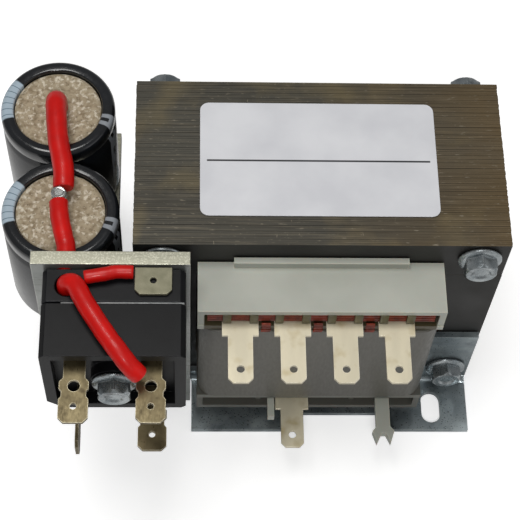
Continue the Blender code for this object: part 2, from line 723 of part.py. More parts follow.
def make_output_tab(brass):
    x = (OUTPUT_TAB_X - OUTPUT_TAB_WIDTH / 2, OUTPUT_TAB_X + OUTPUT_TAB_WIDTH / 2)
    back = PLATE_FRONT_Y - GAP
    front = back - OUTPUT_TAB_REACH
    z = CASE_TOP + GAP
    outline = [
        (x[0], back),
        (x[0], front + TAB_CHAMFER),
        (x[0] + TAB_CHAMFER, front),
        (x[1] - TAB_CHAMFER, front),
        (x[1], front + TAB_CHAMFER),
        (x[1], back),
    ]
    tab = prism("output_tab", outline, "Z", z, z + TAB_THICKNESS, brass)
    spot = (OUTPUT_TAB_X, front + TAB_HOLE_FROM_TIP)
    cutter = hole("output_tab_hole", "Z", spot, DETENT_RADIUS, z - 1, z + TAB_THICKNESS + 1, 16)
    shape_with(tab, "DIFFERENCE", [cutter])


def make_capacitors(sleeve, resin):
    """Each can is a cup in a printed sleeve, rolled over at the rim, with a disc of resin in its mouth."""
    mouth = CAPACITOR_RADIUS - CAPACITOR_RIM
    seat = CAPACITOR_TOP - CAPACITOR_RECESS
    profile = [
        (0, CAPACITOR_BOTTOM),
        (CAPACITOR_RADIUS - EDGE_ROUND, CAPACITOR_BOTTOM),
        (CAPACITOR_RADIUS, CAPACITOR_BOTTOM + EDGE_ROUND),
        (CAPACITOR_RADIUS, CAPACITOR_TOP - EDGE_ROUND),
        (CAPACITOR_RADIUS - EDGE_ROUND / 3, CAPACITOR_TOP - EDGE_ROUND / 3),
        (CAPACITOR_RADIUS - EDGE_ROUND, CAPACITOR_TOP),
        (mouth + EDGE_ROUND / 2, CAPACITOR_TOP),
        (mouth, CAPACITOR_TOP - EDGE_ROUND / 2),
        (mouth, seat),
        (0, seat),
    ]
    for name, centre in (("rear", REAR_CAPACITOR), ("front", FRONT_CAPACITOR)):
        turned(f"capacitor_can_{name}", centre, profile, sleeve)
        disc = [
            (0, seat + GAP),
            (mouth - GAP, seat + GAP),
            (mouth - GAP, SEAL_TOP - SEAL_EDGE_DROP),
            (mouth - GAP - SEAL_EDGE_WIDTH, SEAL_TOP),
            (0, SEAL_TOP),
        ]
        turned(f"capacitor_seal_{name}", centre, disc, resin)


def make_leads(red, tinned):
    """The sleeved capacitor leads, and the leads on the rectifier's own side of the plate."""
    rear_x, rear_y = REAR_CAPACITOR
    front_x, front_y = FRONT_CAPACITOR
    top = LEAD_HEIGHT + 0.6
    wire(
        "positive_lead_rear",
        [
            (rear_x, rear_y, SEAL_TOP + GAP),
            (rear_x, rear_y, LEAD_HEIGHT - 1.6),
            (rear_x, rear_y - 1.4, top - 0.3),
            (rear_x + 0.2, rear_y - 4.5, top + 0.5),
            (rear_x + 1.0, rear_y - 12, top + 0.4),
            (rear_x + 2.4, rear_y - 19, top),
            (front_x + 0.9, front_y + 3.3, LEAD_HEIGHT),
        ],
        SLEEVE_RADIUS,
        red,
    )
    wire(
        "positive_joint",
        [
            (front_x, front_y + 1.5, SEAL_TOP + GAP),
            (front_x, front_y + 1.5, LEAD_HEIGHT - 2),
            (front_x, front_y + 1.5, LEAD_HEIGHT + 1.2),
        ],
        BARE_WIRE_RADIUS,
        tinned,
    )
    wire(
        "positive_lead_front",
        [
            (front_x, front_y - 0.2, LEAD_HEIGHT),
            (front_x + 0.4, front_y - 4, LEAD_HEIGHT + 0.3),
            (LEAD_HOLE_X - 0.6, front_y - 9, LEAD_HEIGHT + 0.2),
            (LEAD_HOLE_X, PLATE_BACK_Y + 3, LEAD_HEIGHT),
            (LEAD_HOLE_X, BLOCK_BACK_Y + GAP, LEAD_HEIGHT),
        ],
        SLEEVE_RADIUS,
        red,
    )
    over = CASE_TOP + GAP + SLEEVE_RADIUS + 0.2
    tab_x = RECTIFIER_X + RECTIFIER_TAB_PITCH_X / 2
    tab_y = CASE_FRONT_Y - WIRE_HOLE_REACH
    wire(
        "rectifier_lead",
        [
            (BORE_X, BORE_Y, CASE_TOP - 5),
            (BORE_X, BORE_Y, CASE_TOP + 0.4),
            (BORE_X + 0.8, BORE_Y - 1.0, over - 0.2),
            (BORE_X + 3.8, BORE_Y - 4.4, over + 0.4),
            (BORE_X + 9.8, BORE_Y - 10.8, over + 0.2),
            (tab_x - 6.0, CASE_FRONT_Y + 0.6, over),
            (tab_x - 3.6, CASE_FRONT_Y - 2.2, over - 1.6),
            (tab_x - 2.3, tab_y + 0.4, over - 3.6),
        ],
        SLEEVE_RADIUS,
        red,
    )
    along = CASE_TOP + GAP + THIN_SLEEVE_RADIUS
    tab_left = OUTPUT_TAB_X - OUTPUT_TAB_WIDTH / 2
    wire(
        "output_lead",
        [
            (BORE_X + 4.0, BORE_Y + 0.9, along),
            (BORE_X + 8.0, BORE_Y + 1.6, along + 0.2),
            (tab_left - 4.0, PLATE_FRONT_Y - 1.9, along + 0.1),
            (tab_left - GAP, PLATE_FRONT_Y - 1.9, along),
        ],
        THIN_SLEEVE_RADIUS,
        red,
    )
    under = SHELF_TOP - PLATE_SHEET - GAP - BARE_WIRE_RADIUS - 0.6
    wire(
        "negative_link",
        [
            (rear_x, rear_y, SHELF_TOP),
            (rear_x, rear_y, under + 2),
            (rear_x + 0.2, rear_y - 2, under),
            (front_x, front_y + 2, under),
            (front_x, front_y, under + 2),
            (front_x, front_y, SHELF_TOP),
        ],
        BARE_WIRE_RADIUS,
        tinned,
    )


def make_label(paper):
    x, y = LABEL_CENTRE
    outline = rounded_rectangle(
        (x - LABEL_WIDTH / 2, x + LABEL_WIDTH / 2), (y - LABEL_DEPTH / 2, y + LABEL_DEPTH / 2), LABEL_CORNER
    )
    bottom = CORE_HEIGHT + LABEL_GAP
    prism("rating_label", outline, "Z", bottom, bottom + LABEL_THICKNESS, paper)


def main():
    clear_scene()
    core_steel = finish_of("core_steel", "#6f675a", 0.5, 0.8)
    zinc = finish_of("zinc_steel", "#9aa0a2", 0.35, 0.9)
    nylon = finish_of("nylon", "#cfd0c2", 0.5, 0.0)
    copper = finish_of("enamelled_copper", "#a8431c", 0.4, 0.3)
    film = finish_of("insulating_film", "#77716a", 0.5, 0.0)
    brass = finish_of("tinned_brass", "#c9c0a4", 0.3, 0.9)
    aluminium = finish_of("aluminium", "#c3c6bd", 0.4, 0.9)
    black = finish_of("black_plastic", "#18191b", 0.4, 0.0)
    anodised = finish_of("black_anodised", "#1d1e21", 0.4, 0.3)
    sleeve = finish_of("capacitor_sleeve", "#14161a", 0.3, 0.0)
    resin = finish_of("resin_paper", "#a69a83", 0.8, 0.0)
    red = finish_of("red_sleeving", "#c4120c", 0.3, 0.0)
    paper = finish_of("label_paper", "#d9dadb", 0.5, 0.0)
    make_core(core_steel)
    make_bobbin(nylon)
    make_windings(copper, film)
    make_winding_tabs(brass)
    make_core_bolts(zinc)
    make_foot_bracket("foot_bracket_front", -1, FOOT_LEFT, True, (1,), zinc)
    make_foot_bracket("foot_bracket_rear", 1, -BRACKET_HALF_WIDTH, False, (-1, 1), zinc)
    make_carrier_plate(aluminium)
    make_rectifier(black, anodised, brass, zinc)
    make_output_tab(brass)
    make_capacitors(sleeve, resin)
    make_leads(red, brass)
    make_label(paper)


main()
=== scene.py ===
"""Looks of an open-frame mains transformer with a bridge rectifier and two smoothing capacitors.

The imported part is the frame. Each operator dresses or rebuilds one group of its pieces, in metres and in
the part's own axes: X to the right, Y to the back, Z up, from the middle of the core's underside.
"""

import math

import bmesh
import bpy
from mathutils import Matrix, Vector


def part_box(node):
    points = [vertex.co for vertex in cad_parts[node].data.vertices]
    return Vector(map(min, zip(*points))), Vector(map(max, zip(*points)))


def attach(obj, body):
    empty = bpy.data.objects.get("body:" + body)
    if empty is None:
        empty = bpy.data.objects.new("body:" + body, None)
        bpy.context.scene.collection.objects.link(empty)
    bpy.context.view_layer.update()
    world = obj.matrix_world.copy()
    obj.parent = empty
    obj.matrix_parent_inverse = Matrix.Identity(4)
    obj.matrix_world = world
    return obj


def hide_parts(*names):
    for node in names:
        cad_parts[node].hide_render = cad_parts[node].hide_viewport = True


bl_info = {
    "name": "Transformer looks",
    "version": (1, 0, 0),
    "blender": (4, 5, 0),
    "location": "3D View > Sidebar > Transformer",
    "description": "Dresses the solids of an open-frame transformer with modelled detail and finishes",
    "category": "Object",
}

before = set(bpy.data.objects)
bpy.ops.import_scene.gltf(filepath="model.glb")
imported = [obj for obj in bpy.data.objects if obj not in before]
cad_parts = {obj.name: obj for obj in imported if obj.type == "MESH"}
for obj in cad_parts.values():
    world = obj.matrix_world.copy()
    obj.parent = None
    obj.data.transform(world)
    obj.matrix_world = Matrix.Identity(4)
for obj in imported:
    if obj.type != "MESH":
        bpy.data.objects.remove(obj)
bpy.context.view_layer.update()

MM = 0.001
SIDES = 64
FINE_SIDES = 96
THREAD_SIDES = 32
SMOOTH_ANGLE = math.radians(35)
# Points of a new mesh, or of a CAD copy, that are closer than this become one.
TOUCHING = 0.0005 * MM
CAD_TOUCHING = 0.001 * MM
# Further out than any point of the part, in metres.
FAR = 1.0

# In a CAD copy: the turn below which two faces are one, the turn from which an edge is rounded, and the
# turn from which it then stays sharp to the light.
FLAT_ANGLE = math.radians(0.5)
EDGE_ANGLE = math.radians(32)
SHARP_ANGLE = math.radians(50)

# Sockets of the Mix node when it mixes colours.
MIX_FACTOR = 0
MIX_A = 6
MIX_B = 7
MIX_RESULT = 2

# Noise of a finish: how fine it goes, and the levels between which it passes from one look to the other.
PATCH_DETAIL = 5.0
PATCH_LEVELS = (0.35, 0.65)
GRAIN_DETAIL = 3.0
GRAIN_LEVELS = (0.3, 0.7)
RELIEF_STRENGTH = 0.6
# Cosine between a face and its rounded edge, where the edge's colour begins and where it is full.
EDGE_TURN = (0.99, 0.85)

# Print on a capacitor's sleeve. A turn is a share of the way round, a span runs along the profile.
STRIPE_TURN = (0.935, 0.975)
DASH_TURN = (0.949, 0.961)
DASH_STEP = 7 * MM
DASH_SPAN = (2.2 * MM, 4.6 * MM)
PATCH_TURN = (0.40, 0.54)
PATCH_SPAN = (15.5 * MM, 47.6 * MM)
TICK_STEP = 0.022
TICK_TURN = (0.0, 0.002)
TICKS_SPAN = (41.0 * MM, 47.6 * MM)
BAR_STEP = 3.2 * MM
BAR_SPAN = (0.5 * MM, 1.7 * MM)
BARS_TURN = (0.42, 0.53)
BARS_SPAN = (18.0 * MM, 36.0 * MM)
PRINT_SOFT = 0.1 * MM

# An EI lamination has fixed proportions: leg and yoke a sixth of its width, tongue a third.
CORE_LOW, CORE_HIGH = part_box("core_e_stack")
YOKE_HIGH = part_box("core_i_stack")[1]
CORE_WIDTH = CORE_HIGH.x - CORE_LOW.x
STACK_DEPTH = CORE_HIGH.y - CORE_LOW.y
LEG = CORE_WIDTH / 6
SHEET_SHARE = 0.93
JOINT_GAP = 0.05 * MM

# Hexagon fasteners: M4, 7 mm across flats, 0.7 mm thread pitch.
HEX_APOTHEM = 3.5 * MM
HEX_CORNER = HEX_APOTHEM / math.cos(math.pi / 6)
HEAD_HEIGHT = 2.8 * MM
HEAD_DISH = 0.5 * MM
DISH_RADIUS = HEX_APOTHEM * 0.62
FLANGE_RADIUS = 5.0 * MM
FLANGE_HEIGHT = 1.2 * MM
THREAD_RADIUS = 2.0 * MM
THREAD_ROOT = 1.65 * MM
THREAD_PITCH = 0.7 * MM
THREAD_LENGTH = 7 * MM
NUT_BORE = 2.05 * MM
NUT_CHAMFER = 0.45 * MM

# Enamelled winding wire, in the upper terminal chamber and on the roots of the blades.
LEAD_OUT_RADIUS = 0.38 * MM
LEAD_OUT_TURNS = 5
LEAD_OUT_STEPS = 12
LEAD_OUT_START = 2.2 * MM
WIRE_SIDES = 10
TAB_COUNT = 4
TAB_ROOT_HALF = 2.0 * MM
CHAMBER_WALL = 1.6 * MM
CHAMBER_BACK = -20 * MM
CHAMBER_WIRES = 6
CHAMBER_STEPS = 12
UPPER_FLANGE_FRONT = -34.4 * MM
END_WIRES = 5
POST_HALF = 0.95 * MM
POST_OFFSET = 3.0 * MM

# A capacitor: the rounded foot of its can, the bead under its mouth as (out, up) in millimetres from the
# can's side, the rolled rim, and the seal that the rim holds down.
FOOT_ROUND = 1.6 * MM
BEAD_BELOW_RIM = 5.2 * MM
BEAD_POINTS = ((0, -1.6), (-0.25, -0.9), (-0.65, 0), (-0.25, 0.9), (0, 1.6))
RIM_ROUND = 1.5 * MM
RIM_LIP = 0.5 * MM
SEAL_EDGE = 1.2 * MM
SEAL_HOLLOW = 0.25 * MM
SEAL_RINGS = 14

# Red sleeving and bare wire. The positive leads run at one level, to a hole in the carrier plate. The
# rectifier's lead rises from its bore.
SLEEVE_RADIUS = 2.1 * MM
WIDE_SLEEVE_RADIUS = 2.35 * MM
THIN_SLEEVE_RADIUS = 1.5 * MM
BARE_RADIUS = 0.9 * MM
ROUTE_STEPS = 9
LEAD_LEVEL = 71.0 * MM
LEAD_GAP = 0.3 * MM
LEAD_OVER_CASE = 2.6 * MM
PLATE_FRONT = -29.3 * MM
PLATE_BACK = -26.1 * MM
PLATE_HOLE_X = -56.4 * MM
BORE_X = -55.6 * MM
BORE_Y = -33.4 * MM
TERMINAL_BACK = 1.5 * MM
SOLDER_SWELL = 0.45
CUT_END = 0.93
SLEEVE_SIDES = 28
JOINT_WIRE = 0.42 * MM
JOINT_TURNS = 3
JOINT_STEPS = 16

# The label: its edge, and half the width of its rule.
LABEL_EDGE = 0.06 * MM
RULE_HALF = 0.18 * MM

# Lamps: name, place, point aimed at, size, share of the key lamp's power, and colour.
LAMPS = (
    ("key_lamp", (-0.12, 0.05, 0.85), (-0.01, 0, 0.04), 0.35, 1.0, (1.0, 0.99, 0.97)),
    ("flash_lamp", (-0.05, -0.42, 0.62), (-0.01, 0, 0.04), 0.1, 0.34, (1.0, 1.0, 1.0)),
    ("side_lamp", (0.6, -0.3, 0.35), (0, 0, 0.05), 0.5, 0.12, (0.97, 0.98, 1.0)),
)
FLOOR_HALF = 3.0
FLOOR_GAP = 0.1 * MM

# The camera that a fit to the core's five visible corners gave, and the photograph's frame.
PHOTO_PIXELS = 520
FOCAL_PIXELS = 1574.2
SENSOR_MM = 36.0
CAMERA_PLACE = (-28.86 * MM, -185.31 * MM, 374.55 * MM)
CAMERA_YAW = math.radians(5.258)
CAMERA_PITCH = math.radians(62.175)
CAMERA_ROLL = math.radians(4.947)


def linear(hex_colour):
    """An sRGB colour such as #c8100a as the four linear numbers that a shader takes."""
    channels = [int(hex_colour[i : i + 2], 16) / 255 for i in (1, 3, 5)]
    return [c / 12.92 if c <= 0.04045 else ((c + 0.055) / 1.055) ** 2.4 for c in channels] + [1.0]


def add(tree, kind, values=None, links=None, **settings):
    """Adds a node with its settings, its input values and its incoming links."""
    node = tree.nodes.new(kind)
    for key, value in settings.items():
        setattr(node, key, value)
    for key, value in (values or {}).items():
        node.inputs[key].default_value = value
    for key, source in (links or {}).items():
        tree.links.new(source, node.inputs[key])
    return node


def output(tree, kind, values=None, links=None, **settings):
    """Adds a node as add does, and gives its first output."""
    return add(tree, kind, values, links, **settings).outputs[0]


def object_place(tree, stretch=(1, 1, 1)):
    """Object coordinates. A pattern on them is drawn out along an axis whose number is below 1."""
    place = add(tree, "ShaderNodeTexCoord").outputs["Object"]
    return output(tree, "ShaderNodeMapping", {"Scale": stretch}, {"Vector": place})


def split(tree, vector):
    """The X, Y and Z of a vector, by name."""
    return add(tree, "ShaderNodeSeparateXYZ", None, {"Vector": vector}).outputs


def facing(tree):
    """The X, Y and Z of the direction that a face looks in."""
    return split(tree, add(tree, "ShaderNodeNewGeometry").outputs["True Normal"])


def noise(tree, place, size_mm, detail):
    """A noise from 0 to 1 whose features are of this size."""
    values = {"Scale": 1 / (size_mm * MM), "Detail": detail}
    return output(tree, "ShaderNodeTexNoise", values, {"Vector": place})


def ramp(tree, value, start, end, low=0.0, high=1.0):
    """Low before the start, high past the end, and even between them."""
    limits = {"From Min": start, "From Max": end, "To Min": low, "To Max": high}
    return output(tree, "ShaderNodeMapRange", limits, {"Value": value})


def product(tree, first, *others):
    """Masks multiplied with each other."""
    for other in others:
        first = output(tree, "ShaderNodeMath", None, {0: first, 1: other}, operation="MULTIPLY")
    return first


def band(tree, value, low, high, soft):
    """1 where the value lies from low to high, falling to 0 over the soft distance."""
    return product(tree, ramp(tree, value, low - soft, low), ramp(tree, value, high + soft, high))


def repeated(tree, value, step):
    """The value counted from 0 again after each step."""
    return output(tree, "ShaderNodeMath", {1: step}, {0: value}, operation="FLOORED_MODULO")


def new_material(name):
    """A new material, its node tree and its shader."""
    material = bpy.data.materials.new(name)
    material.use_nodes = True
    tree = material.node_tree
    return material, tree, tree.nodes["Principled BSDF"]


def finish(
    name, base, shade, patch_mm, grain_mm, roughness,
    spread=0.08, bump_mm=0.01, stretch=(1, 1, 1), **shader_values,
):
    """A surface of two near colours in patches, with a fine grain that roughens and lifts it."""
    material, tree, shader = new_material(name)
    for key, value in shader_values.items():
        shader.inputs[key.replace("_", " ")].default_value = value
    place = object_place(tree, stretch)
    share = ramp(tree, noise(tree, place, patch_mm, PATCH_DETAIL), *PATCH_LEVELS)
    colours = {MIX_A: linear(base), MIX_B: linear(shade)}
    colour = add(tree, "ShaderNodeMix", colours, {MIX_FACTOR: share}, data_type="RGBA")
    grain = noise(tree, place, grain_mm, GRAIN_DETAIL)
    rough = ramp(tree, grain, *GRAIN_LEVELS, roughness - spread, roughness + spread)
    height = {"Strength": RELIEF_STRENGTH, "Distance": bump_mm * MM}
    relief = output(tree, "ShaderNodeBump", height, {"Height": grain})
    tree.links.new(colour.outputs[MIX_RESULT], shader.inputs["Base Color"])
    tree.links.new(rough, shader.inputs["Roughness"])
    tree.links.new(relief, shader.inputs["Normal"])
    return material


def lay_over(material, mask, hex_colour):
    """Lays a second colour over a finish where the mask is 1."""
    tree = material.node_tree
    target = tree.nodes["Principled BSDF"].inputs["Base Color"]
    links = {MIX_FACTOR: mask, MIX_A: target.links[0].from_socket}
    over = add(tree, "ShaderNodeMix", {MIX_B: linear(hex_colour)}, links, data_type="RGBA")
    tree.links.new(over.outputs[MIX_RESULT], target)


def speckle(material, size_mm, low, high, hex_colour, stretch=(1, 1, 1), detail=2.0):
    """Lays a colour on in specks or streaks, where a noise of that size passes from low to high."""
    tree = material.node_tree
    specks = noise(tree, object_place(tree, stretch), size_mm, detail)
    lay_over(material, ramp(tree, specks, low, high), hex_colour)


def edge_wear_and_highlight(material, radius_mm, hex_colour, amount):
    """Lays a colour on the rounded outer edges: wear where handling rubs a plating or shows a cut face, and
    painted highlight where an edge catches the light.
    """
    tree = material.node_tree
    rounded = output(tree, "ShaderNodeBevel", {"Radius": radius_mm * MM}, samples=4)
    flat = add(tree, "ShaderNodeNewGeometry").outputs["True Normal"]
    turn = add(tree, "ShaderNodeVectorMath", None, {0: rounded, 1: flat}, operation="DOT_PRODUCT")
    mask = ramp(tree, turn.outputs["Value"], *EDGE_TURN, 0.0, amount)
    lay_over(material, mask, hex_colour)


def make_materials(looks):
    """Every finish, by a short key. Each is named for the real material.

    The numbers of a finish are the size of its patches and of its grain in millimetres, its roughness and
    the spread of it, the height of its relief in millimetres, and the stretch of its pattern."""
    made = {}
    # Rolled silicon steel seen on its cut edges: dull brown-grey, a streak for each sheet, pale scratches
    # along the edges, and a little brown oxide. The streaks are one 0.5 mm sheet deep.
    core = made["core"] = finish(
        "cold_rolled_silicon_steel", "#4f4d45", "#444139", 26, 0.5, 0.5, 0.1, 0.03, (0.03, 1, 0.03),
        Metallic=0.5,
    )
    speckle(core, 0.6, 0.5, 0.8, "#676052", (0.05, 1, 0.05), 5.0)
    speckle(core, 0.5, 0.6, 0.8, "#38342c", (0.04, 1, 0.04), 3.0)
    speckle(core, 15, 0.5, 0.8, "#75694c", detail=4.0)
    speckle(core, 9, 0.56, 0.8, "#3f3c34", detail=4.0)
    warm_side(core)
    speckle(core, 0.5, 0.62, 0.78, "#8a8271", (0.25, 1, 0.25), 5.0)
    speckle(core, 0.45, 0.72, 0.8, "#8f8674", (1, 0.2, 1), 3.0)
    darker_front_and_back(core)
    # Moulded nylon: warm white, slightly see-through at its thin walls, satin from the tool's surface.
    nylon = made["nylon"] = finish(
        "moulded_nylon", "#b3b5ab", "#a6a89e", 18, 0.35, 0.42, 0.07, 0.012, Subsurface_Weight=0.1,
        Subsurface_Scale=0.6 * MM,
    )
    # Its lighter rounded edges are painted highlight.
    edge_wear_and_highlight(nylon, 0.5, "#d3d1bd", 0.6)
    # Painted shade on the lower flange and inside the upper chamber.
    painted_shade_on_bobbin(nylon)
    # The same nylon darkened to olive-brown with painted shade, for the posts inside the terminal chamber.
    made["stained_nylon"] = finish("varnish_stained_nylon", "#5b5534", "#474226", 5, 0.4, 0.4, 0.08, 0.012)
    # Enamelled copper wire: red-brown metal under clear enamel.
    made["copper"] = finish(
        "enamelled_copper_wire", "#8a3216", "#5d1f0d", 2, 0.4, 0.34, 0.08, 0.01,
        Metallic=0.35, Coat_Weight=0.4,
    )
    # Polyester film tape: smooth grey-brown layers, with a dark step where the last turn ends.
    film = made["film"] = finish(
        "polyester_film_tape", "#5f5d55", "#53514a", 22, 0.6, 0.42, 0.08, 0.015, (1, 1, 0.3), Coat_Weight=0.1,
    )
    tape_seam(film)
    # Tin-plated brass: silvery cream, brushed by the stamping strip, dull in the hollows.
    tab = made["tab"] = finish(
        "tin_plated_brass", "#dad1b7", "#cbc3ab", 5, 0.25, 0.42, 0.08, 0.005, (1, 0.25, 1), Metallic=0.35,
    )
    edge_wear_and_highlight(tab, 0.25, "#f3eedd", 0.8)
    speckle(tab, 4.0, 0.55, 0.8, "#b9aa83")
    # The same plating darkened to brown with painted shade, where the rectifier's blades lie in shade.
    dark_tab = made["dark_tab"] = finish(
        "tinned_brass_in_painted_shade", "#73684c", "#574d36", 4, 0.3, 0.38, 0.12, 0.006, (1, 0.3, 1),
        Metallic=0.7,
    )
    edge_wear_and_highlight(dark_tab, 0.3, "#ddd5ba", 0.8)
    speckle(dark_tab, 2.4, 0.58, 0.8, "#443a26")
    # The blade soldered under the thin lead: a duller, olive-grey copy of the tinned brass.
    dull_tab = made["dull_tab"] = finish(
        "olive_grey_tinned_brass", "#8b8872", "#75735d", 3, 0.3, 0.5, 0.1, 0.008, Metallic=0.5,
    )
    edge_wear_and_highlight(dull_tab, 0.3, "#b5b29a", 0.7)
    # Zinc plating, clear passivated: bright grey with a blue cast and a crystalline mottle.
    zinc = made["zinc"] = finish(
        "clear_passivated_zinc", "#b6bcbe", "#868e92", 4, 0.5, 0.26, 0.1, 0.005, Metallic=0.85,
    )
    edge_wear_and_highlight(zinc, 0.3, "#e3e6e6", 0.6)
    speckle(zinc, 3.0, 0.6, 0.75, "#6c7072")
    # Zinc-plated steel sheet: duller than the screws, with handling marks and large pale clouds of painted
    # highlight.
    sheet = made["sheet"] = finish(
        "zinc_plated_steel_sheet", "#969fa2", "#737d81", 9, 0.4, 0.36, 0.12, 0.008, Metallic=0.8,
    )
    edge_wear_and_highlight(sheet, 0.35, "#cfd4d4", 0.6)
    speckle(sheet, 6, 0.56, 0.74, "#565e62")
    # Large pale clouds: painted highlights.
    speckle(sheet, 11, 0.5, 0.72, "#bcc6c9", detail=3.0)
    speckle(sheet, 0.5, 0.72, 0.78, "#9da3a4", (0.08, 1, 1), 1.0)
    # Mill-finish aluminium with a sawn upper edge: pale, drawn lines along X, bright cuts.
    plate = made["plate"] = finish(
        "mill_finish_aluminium", "#b4b6b3", "#9ea19e", 8, 0.35, 0.38, 0.1, 0.012, (0.06, 1, 1), Metallic=0.8,
    )
    edge_wear_and_highlight(plate, 0.4, "#f0f0ea", 0.7)
    speckle(plate, 0.5, 0.62, 0.7, "#8f918a", (0.15, 1, 1), 2.0)
    sawn_edge(plate)
    # Black anodised aluminium: deep black-blue, satin, grey on its edges as rubbed wear and painted
    # highlight.
    anodised = made["anodised"] = finish(
        "black_anodised_aluminium", "#121316", "#0c0d0f", 8, 0.3, 0.42, 0.08, 0.004, Specular_IOR_Level=0.2,
    )
    edge_wear_and_highlight(anodised, 0.3, "#3a3c40", 0.5)
    # Moulded epoxy compound: near black, satin, with a fine filler grain.
    epoxy = made["epoxy"] = finish(
        "moulded_epoxy_compound", "#0e0f11", "#09090b", 7, 0.25, 0.4, 0.06, 0.006, Specular_IOR_Level=0.2,
    )
    edge_wear_and_highlight(epoxy, 0.3, "#2a2b2e", 0.5)
    speckle(epoxy, 0.35, 0.68, 0.76, "#1b1c1e")
    # Laminated phenolic seal: tan with brown and white fibre grain, matt and rough.
    seal = made["seal"] = finish(
        "phenolic_rubber_laminate", "#ab9d84", "#9b8d74", 2.2, 0.45, 0.85, 0.1, 0.1,
    )
    speckle(seal, 1.1, 0.47, 0.66, "#85755c", detail=6.0)
    speckle(seal, 0.9, 0.52, 0.66, "#d2c9b6", detail=6.0)
    speckle(seal, 0.5, 0.62, 0.72, "#5a4c3a", detail=5.0)
    # Silicone-varnished glass sleeving: saturated red, satin, a weave too fine to see but for its sheen.
    made["sleeving"] = finish(
        "red_varnished_sleeving", "#d20a03", "#bd0803", 6, 0.3, 0.4, 0.05, 0.008, Specular_IOR_Level=0.3,
        Coat_Weight=0.12,
    )
    # Zinc oxide heat paste squeezed out of the joint: grey-white, damp.
    made["paste"] = finish("zinc_oxide_heat_paste", "#9a9c9c", "#7f8181", 2, 0.3, 0.4, 0.1, 0.03)
    # Tin-lead solder and tinned copper: bright, slightly grainy silver.
    made["solder"] = finish("tin_solder", "#c9cbc8", "#a9aca9", 1.2, 0.2, 0.26, 0.08, 0.02, Metallic=0.9)
    made["shrink"] = shrink_sleeve()
    made["paper"] = label_paper(looks)
    tint(made["sleeving"], looks.lead_colour)
    tint(nylon, looks.nylon_colour)
    return made


def warm_side(material):
    """A brown oxide bloom that grows to the right of the core."""
    tree = material.node_tree
    place = object_place(tree)
    share = ramp(tree, split(tree, place)["X"], 0.0, CORE_HIGH.x, 0.0, 0.55)
    lay_over(material, product(tree, share, noise(tree, place, 18, 3.0)), "#8a6b33")


def sawn_edge(material):
    """The upper edge of the plate is sawn: cream-grey with pale pits, where the rest is drawn smooth."""
    tree = material.node_tree
    upward = ramp(tree, facing(tree)["Z"], 0.7, 0.9)
    lay_over(material, upward, "#a5a493")
    pits = ramp(tree, noise(tree, object_place(tree), 0.35, 4.0), 0.5, 0.66)
    lay_over(material, product(tree, pits, upward), "#c6c5b4")


def tape_seam(material):
    """The free end of the last turn of film, at the back of the winding: a thin dark step."""
    tree = material.node_tree
    place = split(tree, object_place(tree))
    line = band(tree, place["X"], -9.2 * MM, -8.9 * MM, 0.1 * MM)
    behind = band(tree, place["Y"], 0.0, FAR, 0.1 * MM)
    lay_over(material, product(tree, line, behind), "#35332e")


def darker_front_and_back(material):
    """The faces that look along Y, the front and back of the stack, are darker than the cut edges."""
    tree = material.node_tree
    size = output(tree, "ShaderNodeMath", None, {0: facing(tree)["Y"]}, operation="ABSOLUTE")
    lay_over(material, ramp(tree, size, 0.6, 0.8), "#2e2d2b")


def painted_shade_on_bobbin(material):
    """Painted shade on the bobbin: dark grey on the lower flange below the winding, where the pegs that stand
    out stay light, and olive-brown over the inside of the upper chamber.
    """
    tree = material.node_tree
    place = split(tree, object_place(tree))
    wrap_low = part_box("winding_wrap")[0]
    under = band(tree, place["Z"], -FAR, wrap_low.z + 0.2 * MM, 0.5 * MM)
    inboard = band(tree, place["Y"], wrap_low.y + 0.6 * MM, FAR, 0.6 * MM)
    lay_over(material, product(tree, under, inboard), "#5a5952")
    tab_low, tab_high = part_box("winding_tab_1")
    bobbin_low, bobbin_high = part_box("bobbin")
    soft = 0.3 * MM
    level = band(tree, place["Z"], tab_low.z - 2.4 * MM, tab_high.z + 3.4 * MM, soft)
    within = band(tree, place["X"], bobbin_low.x + CHAMBER_WALL, bobbin_high.x - CHAMBER_WALL, soft)
    before = band(tree, place["Y"], -FAR, CHAMBER_BACK, soft)
    lay_over(material, product(tree, level, within, before), "#4a422b")


def tint(material, colour):
    """Sets the main colour of a finish from a panel colour."""
    for node in material.node_tree.nodes:
        if node.type == "MIX" and not node.inputs[MIX_A].links and not node.inputs[MIX_B].links:
            node.inputs[MIX_A].default_value = [*colour, 1.0]


def shrink_sleeve():
    """Shrunk plastic sleeve of a capacitor: glossy black, with a pale stripe of plain dashes, and a pale
    patch that holds ticks and dark bars.

    It reads the piece's own UV map: U runs once round the can, V is metres along its profile."""
    material = finish(
        "shrunk_plastic_sleeve", "#0f1114", "#16191d", 10, 1.4, 0.2, 0.05, 0.03, Coat_Weight=0.4,
    )
    tree = material.node_tree
    chart = split(tree, output(tree, "ShaderNodeUVMap", uv_map="UVMap"))
    around, along = chart["X"], chart["Y"]
    lay_over(material, band(tree, around, *STRIPE_TURN, 0.002), "#8d9298")
    dash = band(tree, repeated(tree, along, DASH_STEP), *DASH_SPAN, PRINT_SOFT)
    lay_over(material, product(tree, dash, band(tree, around, *DASH_TURN, 0.001)), "#15171a")
    patch = product(tree, band(tree, around, *PATCH_TURN, 0.004), band(tree, along, *PATCH_SPAN, 0.2 * MM))
    lay_over(material, patch, "#a9bac6")
    tick = band(tree, repeated(tree, around, TICK_STEP), *TICK_TURN, 0.001)
    ticks = product(tree, tick, patch, band(tree, along, *TICKS_SPAN, PRINT_SOFT))
    lay_over(material, ticks, "#5d707e")
    bar = band(tree, repeated(tree, along, BAR_STEP), *BAR_SPAN, PRINT_SOFT)
    sides = band(tree, around, *BARS_TURN, 0.003)
    bars = product(tree, bar, sides, band(tree, along, *BARS_SPAN, PRINT_SOFT))
    lay_over(material, bars, "#1b2a3a")
    return material


